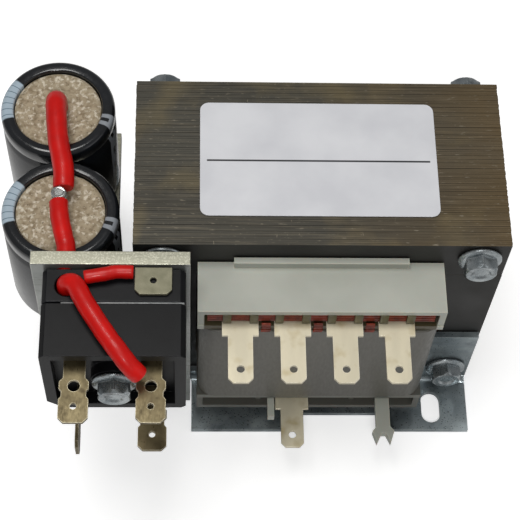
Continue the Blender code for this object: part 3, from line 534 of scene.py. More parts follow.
def label_paper(looks):
    """Matt polyester label: grey-white, with one thin black rule across it."""
    low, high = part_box("rating_label")
    material = finish("matt_polyester_label", "#dcdde1", "#cfd0d5", 14, 0.5, 0.48, 0.05, 0.008)
    tint(material, looks.label_colour)
    tree = material.node_tree
    place = split(tree, object_place(tree))
    margin = 1.6 * MM
    rule_y = low.y + (high.y - low.y) * looks.rule_share
    across = band(tree, place["X"], low.x + margin, high.x - margin, PRINT_SOFT)
    thin = band(tree, place["Y"], rule_y - RULE_HALF, rule_y + RULE_HALF, PRINT_SOFT)
    lay_over(material, product(tree, across, thin), "#26272b")
    return material


def middle(node):
    """The middle of a CAD node's box."""
    low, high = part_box(node)
    return (low + high) / 2


def points_from(anchor, *offsets_mm):
    """Points by their offsets from an anchor, in millimetres."""
    return [Vector(anchor) + Vector(offset) * MM for offset in offsets_mm]


def link(item):
    """Puts a new object in the scene."""
    bpy.context.scene.collection.objects.link(item)
    return item


def mesh_object(name, shape, material, smooth=True):
    """A finished piece from a bmesh: faces out, one material, at the origin."""
    bmesh.ops.recalc_face_normals(shape, faces=shape.faces)
    mesh = bpy.data.meshes.new(name)
    shape.to_mesh(mesh)
    shape.free()
    mesh.materials.append(material)
    if smooth:
        mesh.shade_smooth()
        mesh.set_sharp_from_angle(angle=SMOOTH_ANGLE)
    return link(bpy.data.objects.new(name, mesh))


def plain_mesh(item):
    """Turns an object and its modifiers into a plain mesh of the same name."""
    bpy.context.view_layer.update()
    graph = bpy.context.evaluated_depsgraph_get()
    made = bpy.data.meshes.new_from_object(item.evaluated_get(graph), depsgraph=graph)
    item.modifiers.clear()
    old = item.data
    item.data = made
    bpy.data.meshes.remove(old)


def settle(item, slot, *nodes):
    """Puts a finished piece on the one body and hides the nodes that it stands for. Its finish slot is not
    used.
    """
    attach(item, "root")
    if nodes:
        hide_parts(*nodes)


def dress(node, material):
    """Gives a CAD node that stays in view its finish."""
    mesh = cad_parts[node].data
    mesh.materials.clear()
    mesh.materials.append(material)


def softened(node, name, material, edge, slot, bend=None):
    """A copy of a CAD node with its edges rounded as a tool or a mould leaves them.

    A bend is (y, z, radius) of a folded corner along X, rounded before the rest."""
    shape = bmesh.new()
    shape.from_mesh(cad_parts[node].data)
    bmesh.ops.remove_doubles(shape, verts=shape.verts, dist=CAD_TOUCHING)
    bmesh.ops.dissolve_limit(
        shape, angle_limit=FLAT_ANGLE, verts=shape.verts, edges=shape.edges, delimit={"NORMAL"}
    )
    if bend:
        round_bend(shape, *bend)
    item = mesh_object(name, shape, material, smooth=False)
    rounding = item.modifiers.new("rounded_edges", "BEVEL")
    rounding.width = edge
    rounding.segments = 2
    rounding.limit_method = "ANGLE"
    rounding.angle_limit = EDGE_ANGLE
    rounding.use_clamp_overlap = True
    plain_mesh(item)
    item.data.shade_smooth()
    item.data.set_sharp_from_angle(angle=SHARP_ANGLE)
    flat = item.modifiers.new("flat_faces_stay_flat", "WEIGHTED_NORMAL")
    flat.mode = "FACE_AREA"
    flat.weight = 100
    flat.keep_sharp = True
    plain_mesh(item)
    settle(item, slot, node)


def round_bend(shape, y, z, radius):
    """Rounds the edges along X at one folded corner."""
    close = 0.05 * MM
    folds = [
        edge
        for edge in shape.edges
        if edge.calc_length() > radius
        and all(abs(v.co.y - y) < close and abs(v.co.z - z) < close for v in edge.verts)
    ]
    bmesh.ops.bevel(
        shape, geom=folds, offset=radius, segments=6, profile=0.5, affect="EDGES", clamp_overlap=True
    )


def skin(shape, rings, loop=False):
    """Faces between rings of points, with a UV map: U round the ring, V metres along the rings."""
    chart = shape.loops.layers.uv.get("UVMap") or shape.loops.layers.uv.new("UVMap")
    made = [[shape.verts.new(point) for point in ring] for ring in rings]
    along = [0.0]
    for before, after in zip(rings, rings[1:]):
        along.append(along[-1] + max((Vector(a) - Vector(b)).length for a, b in zip(before, after)))
    count = len(rings)
    for i in range(count if loop else count - 1):
        following = (i + 1) % count
        lower, upper = made[i], made[following]
        heights = (along[i], along[i], along[following], along[following])
        sides = len(lower)
        for j in range(sides):
            k = (j + 1) % sides
            face = shape.faces.new((lower[j], lower[k], upper[k], upper[j]))
            turns = (j / sides, (j + 1) / sides, (j + 1) / sides, j / sides)
            for corner, u, v in zip(face.loops, turns, heights):
                corner[chart].uv = (u, v)
    bmesh.ops.remove_doubles(shape, verts=shape.verts, dist=TOUCHING)


def add_turned(shape, centre, profile, axis="Z", base=0.0, apothem=None, loop=False, sides=SIDES):
    """A profile of (radius, height over the base) turned about an axis through the centre.

    With an apothem, the turned form is cut to a hexagon, as a bolt head is from bar."""
    rings = []
    for radius, height in profile:
        ring = []
        for i in range(sides):
            angle = math.tau * i / sides
            reach = radius
            if apothem and radius > 0:
                from_flat = (angle + math.pi / 6) % (math.pi / 3) - math.pi / 6
                reach = min(radius, apothem / math.cos(from_flat))
            u = centre[0] + reach * math.cos(angle)
            v = centre[1] + reach * math.sin(angle)
            ring.append((u, v, base + height) if axis == "Z" else (u, base + height, v))
        rings.append(ring)
    skin(shape, rings, loop)


def arc(centre, radius, start, end, steps):
    """Points of an arc in a profile, in degrees from straight out."""
    points = []
    for i in range(steps + 1):
        angle = math.radians(start + (end - start) * i / steps)
        points.append((centre[0] + radius * math.cos(angle), centre[1] + radius * math.sin(angle)))
    return points


def coil(centre, u, v, rise, turns, steps):
    """Points of a coil round the centre: from u towards v and on, moved by the rise in each turn."""
    points = []
    for i in range(turns * steps + 1):
        turn = i / steps
        angle = math.tau * turn
        points.append(centre + math.cos(angle) * u + math.sin(angle) * v + turn * rise)
    return points


def smooth_route(points, steps=ROUTE_STEPS):
    """Points on a smooth curve that runs through the route's own points."""
    padded = [Vector(point) for point in (points[0], *points, points[-1])]
    route = []
    for a, b, c, d in zip(padded, padded[1:], padded[2:], padded[3:]):
        for step in range(steps):
            t = step / steps
            square = (2 * a - 5 * b + 4 * c - d) * t**2
            cube = (3 * b - a - 3 * c + d) * t**3
            route.append(0.5 * (2 * b + (c - a) * t + square + cube))
    return [*route, padded[-1]]


def add_tube(shape, route, radii, sides=20):
    """A round tube along a route, closed at both ends. Radii is one number, or one for each point."""
    radii = radii if isinstance(radii, list) else [radii] * len(route)
    across = (route[1] - route[0]).normalized().orthogonal().normalized()
    angles = [math.tau * j / sides for j in range(sides)]
    rings = []
    for i, point in enumerate(route):
        ahead = (route[min(i + 1, len(route) - 1)] - route[max(i - 1, 0)]).normalized()
        across = (across - across.dot(ahead) * ahead).normalized()
        other = ahead.cross(across)
        rings.append([point + radii[i] * (math.cos(a) * across + math.sin(a) * other) for a in angles])
    skin(shape, [[route[0]] * sides, *rings, [route[-1]] * sides])


def add_block(shape, x, y, z):
    """A rectangular block with all its edges rounded. Each span is (from, to)."""
    made = bmesh.ops.create_cube(shape, size=1.0)
    size = Vector((x[1] - x[0], y[1] - y[0], z[1] - z[0]))
    centre = Vector(((x[0] + x[1]) / 2, (y[0] + y[1]) / 2, (z[0] + z[1]) / 2))
    place = Matrix.Translation(centre) @ Matrix.Diagonal((*size, 1))
    bmesh.ops.transform(shape, matrix=place, verts=made["verts"])
    edges = {edge for v in made["verts"] for edge in v.link_edges}
    bmesh.ops.bevel(shape, geom=list(edges), offset=0.15 * MM, segments=2, affect="EDGES", profile=0.5)


def row_tree():
    """Geometry Nodes: copies of a mesh in a row, each shifted a little at random, as one plain mesh."""
    tree = bpy.data.node_groups.new("row_of_copies", "GeometryNodeTree")
    tree.is_modifier = True
    face = tree.interface
    for name, kind in (
        ("Geometry", "Geometry"),
        ("Count", "Int"),
        ("Step", "Vector"),
        ("Stray", "Vector"),
        ("Seed", "Int"),
        ("Finish", "Material"),
    ):
        face.new_socket(name=name, in_out="INPUT", socket_type=f"NodeSocket{kind}")
    face.new_socket(name="Geometry", in_out="OUTPUT", socket_type="NodeSocketGeometry")
    given = add(tree, "NodeGroupInput").outputs
    spacing = {"Count": given["Count"], "Offset": given["Step"]}
    line = output(tree, "GeometryNodeMeshLine", None, spacing, mode="OFFSET")
    back = output(tree, "ShaderNodeVectorMath", {"Scale": -1.0}, {0: given["Stray"]}, operation="SCALE")
    limits = {"Min": back, "Max": given["Stray"], "Seed": given["Seed"]}
    stray = output(tree, "FunctionNodeRandomValue", None, limits, data_type="FLOAT_VECTOR")
    points = output(tree, "GeometryNodeSetPosition", None, {"Geometry": line, "Offset": stray})
    placing = {"Points": points, "Instance": given["Geometry"]}
    copies = output(tree, "GeometryNodeInstanceOnPoints", None, placing)
    real = output(tree, "GeometryNodeRealizeInstances", None, {"Geometry": copies})
    dressing = {"Geometry": real, "Material": given["Finish"]}
    dressed = output(tree, "GeometryNodeSetMaterial", None, dressing)
    add(tree, "NodeGroupOutput", None, {"Geometry": dressed})
    return tree


def in_a_row(item, count, step, material, stray=(0, 0, 0), seed=1):
    """Repeats an object's mesh by the row tree, and makes the result plain."""
    tree = bpy.data.node_groups.get("row_of_copies") or row_tree()
    row = item.modifiers.new("row", "NODES")
    row.node_group = tree
    values = {"Count": count, "Step": step, "Stray": stray, "Seed": seed, "Finish": material}
    for socket in tree.interface.items_tree:
        if socket.in_out == "INPUT" and socket.name in values:
            row[socket.identifier] = values[socket.name]
    item.update_tag()
    plain_mesh(item)


def joined(name, items, material):
    """One piece from several plain meshes."""
    shape = bmesh.new()
    for item in items:
        shape.from_mesh(item.data)
        bpy.data.objects.remove(item)
    return mesh_object(name, shape, material)


def sheet_shape(outline, y, thickness):
    """One lamination: a flat outline of (x, z) points, a sheet thick along Y."""
    shape = bmesh.new()
    face = shape.faces.new([shape.verts.new((x, y, z)) for x, z in outline])
    drawn = bmesh.ops.extrude_face_region(shape, geom=[face])
    corners = [v for v in drawn["geom"] if isinstance(v, bmesh.types.BMVert)]
    bmesh.ops.translate(shape, verts=corners, vec=(0, thickness, 0))
    return shape


def build_core(looks, made):
    """The E and I sheets, each a punched lamination, stacked with the small steps of a real stack."""
    left, right = CORE_LOW.x, CORE_HIGH.x
    bottom, joint = CORE_LOW.z, CORE_HIGH.z
    window = bottom + LEG
    # The E's right half, from the bottom to the tongue. The left half mirrors it.
    inner = right - LEG
    half = [(right, bottom), (right, joint), (inner, joint), (inner, window), (LEG, window), (LEG, joint)]
    e_outline = half + [(-x, z) for x, z in reversed(half)]
    low = joint + JOINT_GAP
    i_outline = [(left, low), (right, low), (right, YOKE_HIGH.z), (left, YOKE_HIGH.z)]
    count = round(STACK_DEPTH / looks.sheet_thickness)
    pitch = STACK_DEPTH / count
    stray = (looks.sheet_stray, 0, looks.sheet_stray)
    for name, outline, node, seed in (
        ("core_e_sheets", e_outline, "core_e_stack", 3),
        ("core_i_sheets", i_outline, "core_i_stack", 8),
    ):
        shape = sheet_shape(outline, CORE_LOW.y, pitch * SHEET_SHARE)
        item = mesh_object(name, shape, made["core"], smooth=False)
        in_a_row(item, count, (0, pitch, 0), made["core"], stray, seed)
        settle(item, "core_steel", node)


def build_bobbin(looks, made):
    """The nylon bobbin, with the rounded edges of a moulding."""
    softened("bobbin", "bobbin_moulding", made["nylon"], looks.mould_round, "nylon")


def add_lead_out(shape, node, up):
    """One wire: out of the flange behind the tab, over to its root and a few turns round it."""
    low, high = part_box(node)
    centre = middle(node)
    centre.y = high.y - LEAD_OUT_START
    gap = LEAD_OUT_RADIUS + 0.05 * MM
    beside = centre + Vector((TAB_ROOT_HALF, 0, 0))
    route = points_from(beside, (2.2, 3.4, 0), (2.0, 2.6, up * 1.2), (0.9, 1.0, up * 1.4))
    across = Vector((TAB_ROOT_HALF + gap, 0, 0))
    over = Vector((0, 0, up * ((high.z - low.z) / 2 + gap)))
    rise = Vector((0, -2.1 * LEAD_OUT_RADIUS, 0))
    route += coil(centre, across, over, rise, LEAD_OUT_TURNS, LEAD_OUT_STEPS)
    add_tube(shape, smooth_route(route, 2), LEAD_OUT_RADIUS, 8)


def build_windings(looks, made):
    """The film round the winding, and the enamelled lead-out wires wound on the roots of the tabs."""
    softened("winding_wrap", "winding_film", made["film"], looks.mould_round, "insulating_film")
    for node in ("primary_winding", "secondary_winding"):
        dress(node, made["copper"])
    shape = bmesh.new()
    for i in range(1, TAB_COUNT + 1):
        add_lead_out(shape, f"winding_tab_{i}", 1)
    add_lead_out(shape, "winding_tab_low", -1)
    settle(mesh_object("lead_out_wires", shape, made["copper"]), "winding_copper")
    build_chamber(made)


def build_chamber(made):
    """In the mouth of the upper chamber: enamelled wires along it and a post on each side of each tab.

    The wires' ends lie on the front of the flange, below the chamber and between the tabs."""
    bobbin_low, bobbin_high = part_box("bobbin")
    tab_low, tab_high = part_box("winding_tab_1")
    margin = 2.2 * MM
    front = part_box("winding_wrap")[0].y + 1.35 * MM
    start = Vector((bobbin_low.x + margin, front, tab_high.z + LEAD_OUT_RADIUS + 0.1 * MM))
    length = Vector((bobbin_high.x - bobbin_low.x - 2 * margin, 0, 0))
    shape = bmesh.new()
    route = [start + length * i / CHAMBER_STEPS for i in range(CHAMBER_STEPS + 1)]
    add_tube(shape, route, LEAD_OUT_RADIUS, WIRE_SIDES)
    wires = mesh_object("chamber_wires", shape, made["copper"])
    step = (0, 0.12 * MM, 1.9 * LEAD_OUT_RADIUS)
    in_a_row(wires, CHAMBER_WIRES, step, made["copper"], (0, 0.1 * MM, 0.03 * MM), 5)
    settle(wires, "winding_copper")
    shape = bmesh.new()
    depth = (front - 0.9 * MM, front + 0.2 * MM)
    height = (tab_high.z + 0.1 * MM, tab_high.z + 4.0 * MM)
    for i in range(1, TAB_COUNT + 1):
        for offset in (-POST_OFFSET, POST_OFFSET):
            x = middle(f"winding_tab_{i}").x + offset
            add_block(shape, (x - POST_HALF, x + POST_HALF), depth, height)
    settle(mesh_object("chamber_posts", shape, made["stained_nylon"]), "nylon")
    shape = bmesh.new()
    inset = 0.75 * MM
    before = UPPER_FLANGE_FRONT - LEAD_OUT_RADIUS
    lowest = tab_low.z - 2.0 * MM
    for i in range(1, TAB_COUNT):
        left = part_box(f"winding_tab_{i}")[1].x + inset
        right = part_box(f"winding_tab_{i + 1}")[0].x - inset
        route = [Vector((left, before, lowest)), Vector((right, before, lowest))]
        add_tube(shape, route, LEAD_OUT_RADIUS, WIRE_SIDES)
    ends = mesh_object("chamber_wire_ends", shape, made["copper"])
    step = (0, 0.05 * MM, 1.95 * LEAD_OUT_RADIUS)
    in_a_row(ends, END_WIRES, step, made["copper"], (0.15 * MM, 0.08 * MM, 0), 8)
    settle(ends, "winding_copper")


def build_winding_tabs(looks, made):
    """The five blade terminals of the winding."""
    for place in (*range(1, TAB_COUNT + 1), "low"):
        node = f"winding_tab_{place}"
        softened(node, f"{node}_blade", made["tab"], looks.stamp_round, "tinned_brass")


def add_bolt(node, material):
    """A flanged hexagon bolt along Y, its head at the front, with a rolled thread at its end."""
    low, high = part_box(node)
    centre = middle(node).xz
    front, end = low.y, high.y
    seat = front + HEAD_HEIGHT + FLANGE_HEIGHT
    shape = bmesh.new()
    head = [
        (0, HEAD_DISH),
        (DISH_RADIUS * 0.8, HEAD_DISH),
        (DISH_RADIUS, HEAD_DISH * 0.3),
        (DISH_RADIUS + 0.25 * MM, 0),
        (HEX_APOTHEM * 0.95, 0),
        (HEX_APOTHEM, 0.15 * MM),
        (HEX_CORNER, 0.62 * MM),
        (HEX_CORNER, HEAD_HEIGHT - 0.15 * MM),
        (HEX_CORNER, HEAD_HEIGHT + 0.1 * MM),
        (0, HEAD_HEIGHT + 0.1 * MM),
    ]
    add_turned(shape, centre, head, "Y", front, HEX_APOTHEM, sides=FINE_SIDES)
    flange = [
        (0, 0),
        (HEX_APOTHEM, 0),
        (FLANGE_RADIUS - 0.5 * MM, 0.35 * MM),
        (FLANGE_RADIUS - 0.1 * MM, 0.6 * MM),
        (FLANGE_RADIUS, 0.85 * MM),
        (FLANGE_RADIUS - 0.15 * MM, FLANGE_HEIGHT),
        (0, FLANGE_HEIGHT),
    ]
    add_turned(shape, centre, flange, "Y", front + HEAD_HEIGHT)
    chamfer = 0.3 * MM
    start = seat - 0.1 * MM
    shank = [(0, start), (THREAD_ROOT, start), (THREAD_ROOT, end - chamfer)]
    shank += [(THREAD_ROOT - chamfer, end), (0, end)]
    add_turned(shape, centre, shank, "Y", sides=THREAD_SIDES)
    body = mesh_object(f"{node}_body", shape, material)
    turns = int(min(end - seat - 0.6 * MM, THREAD_LENGTH) / THREAD_PITCH)
    ridge = [
        (THREAD_ROOT - 0.1 * MM, 0),
        (THREAD_ROOT, 0.06 * MM),
        (THREAD_RADIUS, 0.3 * MM),
        (THREAD_RADIUS, 0.4 * MM),
        (THREAD_ROOT, 0.64 * MM),
        (THREAD_ROOT - 0.1 * MM, THREAD_PITCH),
    ]
    shape = bmesh.new()
    thread_start = end - 0.4 * MM - turns * THREAD_PITCH
    add_turned(shape, centre, ridge, "Y", thread_start, loop=True, sides=THREAD_SIDES)
    thread = mesh_object(f"{node}_thread", shape, material)
    in_a_row(thread, turns, (0, THREAD_PITCH, 0), material)
    settle(joined(f"{node}_m4", [body, thread], material), "zinc_steel", node)


def add_nut(node, material):
    """A chamfered hexagon nut along Y."""
    low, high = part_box(node)
    small = NUT_CHAMFER / 2
    half = [(NUT_BORE, small), (NUT_BORE + small, 0), (HEX_APOTHEM * 0.96, 0), (HEX_CORNER, NUT_CHAMFER)]
    profile = half + [(radius, high.y - low.y - height) for radius, height in reversed(half)]
    shape = bmesh.new()
    add_turned(shape, middle(node).xz, profile, "Y", low.y, HEX_APOTHEM, loop=True, sides=FINE_SIDES)
    settle(mesh_object(f"{node}_m4", shape, material), "zinc_steel", node)


def build_fasteners(looks, made):
    """Bolts with rolled threads, their nuts, the rectifier's screw and the spacer."""
    for row in ("upper", "lower"):
        for side in ("left", "right"):
            add_bolt(f"core_bolt_{row}_{side}", made["zinc"])
            add_nut(f"core_nut_{row}_{side}", made["zinc"])
    add_bolt("rectifier_screw", made["zinc"])
    add_nut("rectifier_nut", made["zinc"])
    softened("bolt_spacer", "bolt_spacer_turned", made["zinc"], looks.stamp_round, "zinc_steel")


def build_feet(looks, made):
    """The folded brackets, rounded on the outside of the fold."""
    thick = looks.sheet_metal
    for node, side in (("foot_bracket_front", -1), ("foot_bracket_rear", 1)):
        low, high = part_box(node)
        bend = (side * (min(abs(low.y), abs(high.y)) + thick), low.z + thick, thick)
        softened(node, f"{node}_folded", made["sheet"], looks.stamp_round, "zinc_steel", bend)


def build_carrier(looks, made):
    """The aluminium plate behind the rectifier, with the edges of a sawn sheet."""
    softened("carrier_plate", "carrier_plate_sawn", made["plate"], looks.stamp_round, "aluminium")


def build_rectifier(looks, made):
    """The moulded case, its anodised block, the blades, and heat paste between case and block."""
    edge = looks.mould_round
    softened("heat_sink_block", "heat_sink_block_anodised", made["anodised"], edge, "black_anodised")
    softened("rectifier_case", "rectifier_moulding", made["epoxy"], edge, "black_plastic")
    for row in ("lower", "upper"):
        for side in ("left", "right"):
            node = f"rectifier_tab_{row}_{side}"
            softened(node, f"{node}_blade", made["dark_tab"], looks.stamp_round, "tinned_brass")
    softened("output_tab", "output_tab_blade", made["dull_tab"], looks.stamp_round, "tinned_brass")
    low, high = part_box("rectifier_case")
    block_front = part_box("heat_sink_block")[0].y
    inset = 0.35 * MM
    overlap = 0.05 * MM
    across = (low.x + 4.2 * MM, high.x - inset)
    deep = (high.y - overlap, block_front + overlap)
    shape = bmesh.new()
    add_block(shape, across, deep, (low.z + inset, high.z - 0.1 * MM))
    settle(mesh_object("thermal_paste", shape, made["paste"]), "aluminium")


def build_capacitors(looks, made):
    """Each can in its shrunk sleeve, beaded below the mouth and rolled in at the rim, and its seal."""
    for place in ("rear", "front"):
        node = f"capacitor_can_{place}"
        low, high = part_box(node)
        centre = middle(node).xy
        radius = (high.x - low.x) / 2
        seal_low, seal_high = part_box(f"capacitor_seal_{place}")
        seal_radius = (seal_high.x - seal_low.x) / 2
        rim = radius - seal_radius
        bead = high.z - BEAD_BELOW_RIM
        lip = 0.25 * MM
        floor = seal_low.z - 0.2 * MM
        profile = [(0, low.z), (radius - FOOT_ROUND, low.z)]
        profile += arc((radius - FOOT_ROUND, low.z + FOOT_ROUND), FOOT_ROUND, -90, 0, 6)
        profile += [(radius + out * MM, bead + up * MM) for out, up in BEAD_POINTS]
        profile += arc((radius - RIM_ROUND, high.z - RIM_ROUND), RIM_ROUND, 0, 90, 8)
        profile += [(seal_radius + rim * 0.35, high.z - 0.05 * MM)]
        profile += arc((seal_radius + lip + RIM_LIP, high.z - 0.6 * MM), RIM_LIP, 90, 180, 5)
        profile += [(seal_radius + lip, floor), (0, floor)]
        shape = bmesh.new()
        add_turned(shape, centre, profile, sides=FINE_SIDES)
        settle(mesh_object(f"{node}_sleeved", shape, made["shrink"]), "capacitor_sleeve", node)
        build_seal(f"capacitor_seal_{place}", centre, seal_radius, seal_low.z, seal_high.z, made["seal"])


def build_seal(node, centre, radius, low, high, material):
    """A laminated disc, slightly hollow, with its edge pressed down by the rolled rim."""
    crest = radius - SEAL_EDGE
    profile = [(0, low), (radius - 0.1 * MM, low), (radius, low + 0.4 * MM), (radius, high - 0.5 * MM)]
    profile += [(radius - 0.5 * MM, high - 0.1 * MM), (crest, high)]
    for i in reversed(range(SEAL_RINGS)):
        share = i / SEAL_RINGS
        profile.append((crest * share, high - SEAL_HOLLOW * (1 - share**2)))
    shape = bmesh.new()
    add_turned(shape, centre, profile, sides=FINE_SIDES)
    settle(mesh_object(f"{node}_disc", shape, material), "capacitor_resin", node)


def sleeve_radii(route, radius):
    """The radius along a sleeve: full, with its cut ends drawn in and a little waviness between."""
    waves = [1 + 0.012 * math.sin(i * 0.9) + 0.008 * math.sin(i * 2.3) for i in range(len(route))]
    radii = [radius * wave for wave in waves]
    radii[0] *= CUT_END
    radii[-1] *= CUT_END
    return radii


def lead_routes():
    """The sleeved leads on their CAD routes: node, radius, sides and the points that each runs through."""
    rear_x, rear_y, _ = middle("capacitor_seal_rear")
    front_x, front_y, _ = middle("capacitor_seal_front")
    seal_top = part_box("capacitor_seal_rear")[1].z
    rear = (rear_x, rear_y, LEAD_LEVEL)
    front = (front_x, front_y, LEAD_LEVEL)
    to_joint = [
        (rear_x, rear_y, seal_top + LEAD_GAP),
        *points_from(rear, (0, 0, -1.6), (0, -1.4, 0.3), (0.2, -4.5, 1.1), (1.0, -12, 1.0), (2.4, -19, 0.6)),
        *points_from(front, (0.9, 3.3, 0)),
    ]
    to_plate = [
        *points_from(front, (0, -0.2, 0), (0.4, -4, 0.3)),
        *points_from((PLATE_HOLE_X, front_y, LEAD_LEVEL), (-0.6, -9, 0.2)),
        *points_from((PLATE_HOLE_X, PLATE_BACK, LEAD_LEVEL), (0, 3, 0)),
        (PLATE_HOLE_X, PLATE_FRONT, LEAD_LEVEL),
    ]
    case_low, case_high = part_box("rectifier_case")
    bore = (BORE_X, BORE_Y, case_high.z)
    blade = (middle("rectifier_tab_upper_right").x, case_low.y, case_high.z + LEAD_OVER_CASE)
    to_blade = [
        *points_from(bore, (0, 0, -5), (0, 0, 0.4), (1.9, -1.2, 2.4), (4.2, -5.6, 3.0), (8.2, -12, 2.8)),
        *points_from(blade, (-6.8, 0.2, 0), (-4.3, -2.6, -1.6), (-2.3, -3.9, -3.6)),
    ]
    low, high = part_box("output_lead")
    level = low.z + THIN_SLEEVE_RADIUS
    to_output = [
        *points_from((low.x, BORE_Y, level), (0, 0.9, 0)),
        *points_from((BORE_X, BORE_Y, level), (8.0, 1.6, 0.2)),
        *points_from((high.x, PLATE_FRONT, level), (-3.7, -1.9, 0.1), (0, -1.9, 0)),
    ]
    return (
        ("positive_lead_rear", WIDE_SLEEVE_RADIUS, SLEEVE_SIDES, to_joint),
        ("positive_lead_front", SLEEVE_RADIUS, SLEEVE_SIDES, to_plate),
        ("rectifier_lead", SLEEVE_RADIUS, SLEEVE_SIDES, to_blade),
        ("output_lead", THIN_SLEEVE_RADIUS, 20, to_output),
    )


def build_leads(looks, made):
    """The red sleeved leads, the soldered joint between the capacitors, and the link below them."""
    for node, radius, sides, points in lead_routes():
        route = smooth_route(points)
        shape = bmesh.new()
        add_tube(shape, route, sleeve_radii(route, radius), sides)
        settle(mesh_object(f"{node}_sleeving", shape, made["sleeving"]), "red_sleeving", node)
    build_joint(made)
    dress("negative_link", made["solder"])


def build_joint(made):
    """The front terminal, swollen with solder at its top, with turns of the rear lead's wire round it."""
    terminal = middle("capacitor_seal_front")
    terminal.y += TERMINAL_BACK
    foot = Vector((terminal.x, terminal.y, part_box("capacitor_seal_rear")[1].z + LEAD_GAP))
    terminal.z = LEAD_LEVEL
    route = smooth_route([foot, *points_from(terminal, (0, 0, -2), (0, 0, 1.2))])
    radii = [BARE_RADIUS * (1 + SOLDER_SWELL * max(0, i / len(route) - 0.5)) for i in range(len(route))]
    shape = bmesh.new()
    add_tube(shape, route, radii, 20)
    reach = BARE_RADIUS + JOINT_WIRE
    start = terminal - Vector((0, 0, 1.1 * MM))
    rise = Vector((0, 0, 2.1 * JOINT_WIRE))
    turns = coil(start, Vector((reach, 0, 0)), Vector((0, reach, 0)), rise, JOINT_TURNS, JOINT_STEPS)
    add_tube(shape, turns, JOINT_WIRE, WIRE_SIDES)
    settle(mesh_object("positive_joint_soldered", shape, made["solder"]), "tinned_brass", "positive_joint")


def build_label(looks, made):
    """The label, a film with just broken edges."""
    softened("rating_label", "rating_label_film", made["paper"], LABEL_EDGE, "label_paper")


def build_stage(looks, made):
    """A plain pale floor, soft studio lamps and the camera at the photograph's angle."""
    shape = bmesh.new()
    bmesh.ops.create_grid(shape, x_segments=1, y_segments=1, size=FLOOR_HALF)
    material, tree, shader = new_material("white_studio_paper")
    shader.inputs["Base Color"].default_value = linear("#efefef")
    shader.inputs["Roughness"].default_value = 0.9
    shader.inputs["Emission Color"].default_value = (1, 1, 1, 1)
    seen = add(tree, "ShaderNodeLightPath").outputs["Is Camera Ray"]
    glow = output(tree, "ShaderNodeMath", {1: looks.floor_glow}, {0: seen}, operation="MULTIPLY")
    tree.links.new(glow, shader.inputs["Emission Strength"])
    floor = mesh_object("studio_floor", shape, material, smooth=False)
    floor.data.transform(Matrix.Translation((0, 0, CORE_LOW.z - FLOOR_GAP)))
    for name, place, aim, size, share, colour in LAMPS:
        light = bpy.data.lights.new(name, "AREA")
        light.shape = "SQUARE"
        light.size = size
        light.energy = looks.key_power * share
        light.color = colour
        lamp = link(bpy.data.objects.new(name, light))
        lamp.location = place
        lamp.rotation_euler = (Vector(aim) - Vector(place)).to_track_quat("-Z", "Y").to_euler()
    build_world(looks)
    build_camera()
    bpy.context.scene.view_settings.view_transform = "Standard"


def build_world(looks):
    """An even pale surround, which the camera sees white."""
    world = bpy.data.worlds.new("studio_surround")
    bpy.context.scene.world = world
    world.use_nodes = True
    tree = world.node_tree
    background = tree.nodes["Background"]
    background.inputs["Color"].default_value = (1.0, 1.0, 1.0, 1.0)
    seen = add(tree, "ShaderNodeLightPath").outputs["Is Camera Ray"]
    tree.links.new(ramp(tree, seen, 0.0, 1.0, looks.surround), background.inputs["Strength"])


def build_camera():
    """The camera of the fit: yaw to the right, pitch down, then roll about its own axis."""
    yaw, pitch, roll = CAMERA_YAW, CAMERA_PITCH, CAMERA_ROLL
    ahead = Vector((math.sin(yaw) * math.cos(pitch), math.cos(yaw) * math.cos(pitch), -math.sin(pitch)))
    level = Vector((math.cos(yaw), -math.sin(yaw), 0))
    upward = level.cross(ahead)
    right = math.cos(roll) * level + math.sin(roll) * upward
    up = -math.sin(roll) * level + math.cos(roll) * upward
    data = bpy.data.cameras.new("photo_camera")
    data.sensor_width = SENSOR_MM
    data.lens = FOCAL_PIXELS * SENSOR_MM / PHOTO_PIXELS
    data.clip_start = 0.01
    data.clip_end = 20
    camera = link(bpy.data.objects.new("photo_camera", data))
    turn = Matrix((right, up, -ahead)).transposed().to_4x4()
    camera.matrix_world = Matrix.Translation(CAMERA_PLACE) @ turn
    bpy.context.scene.camera = camera


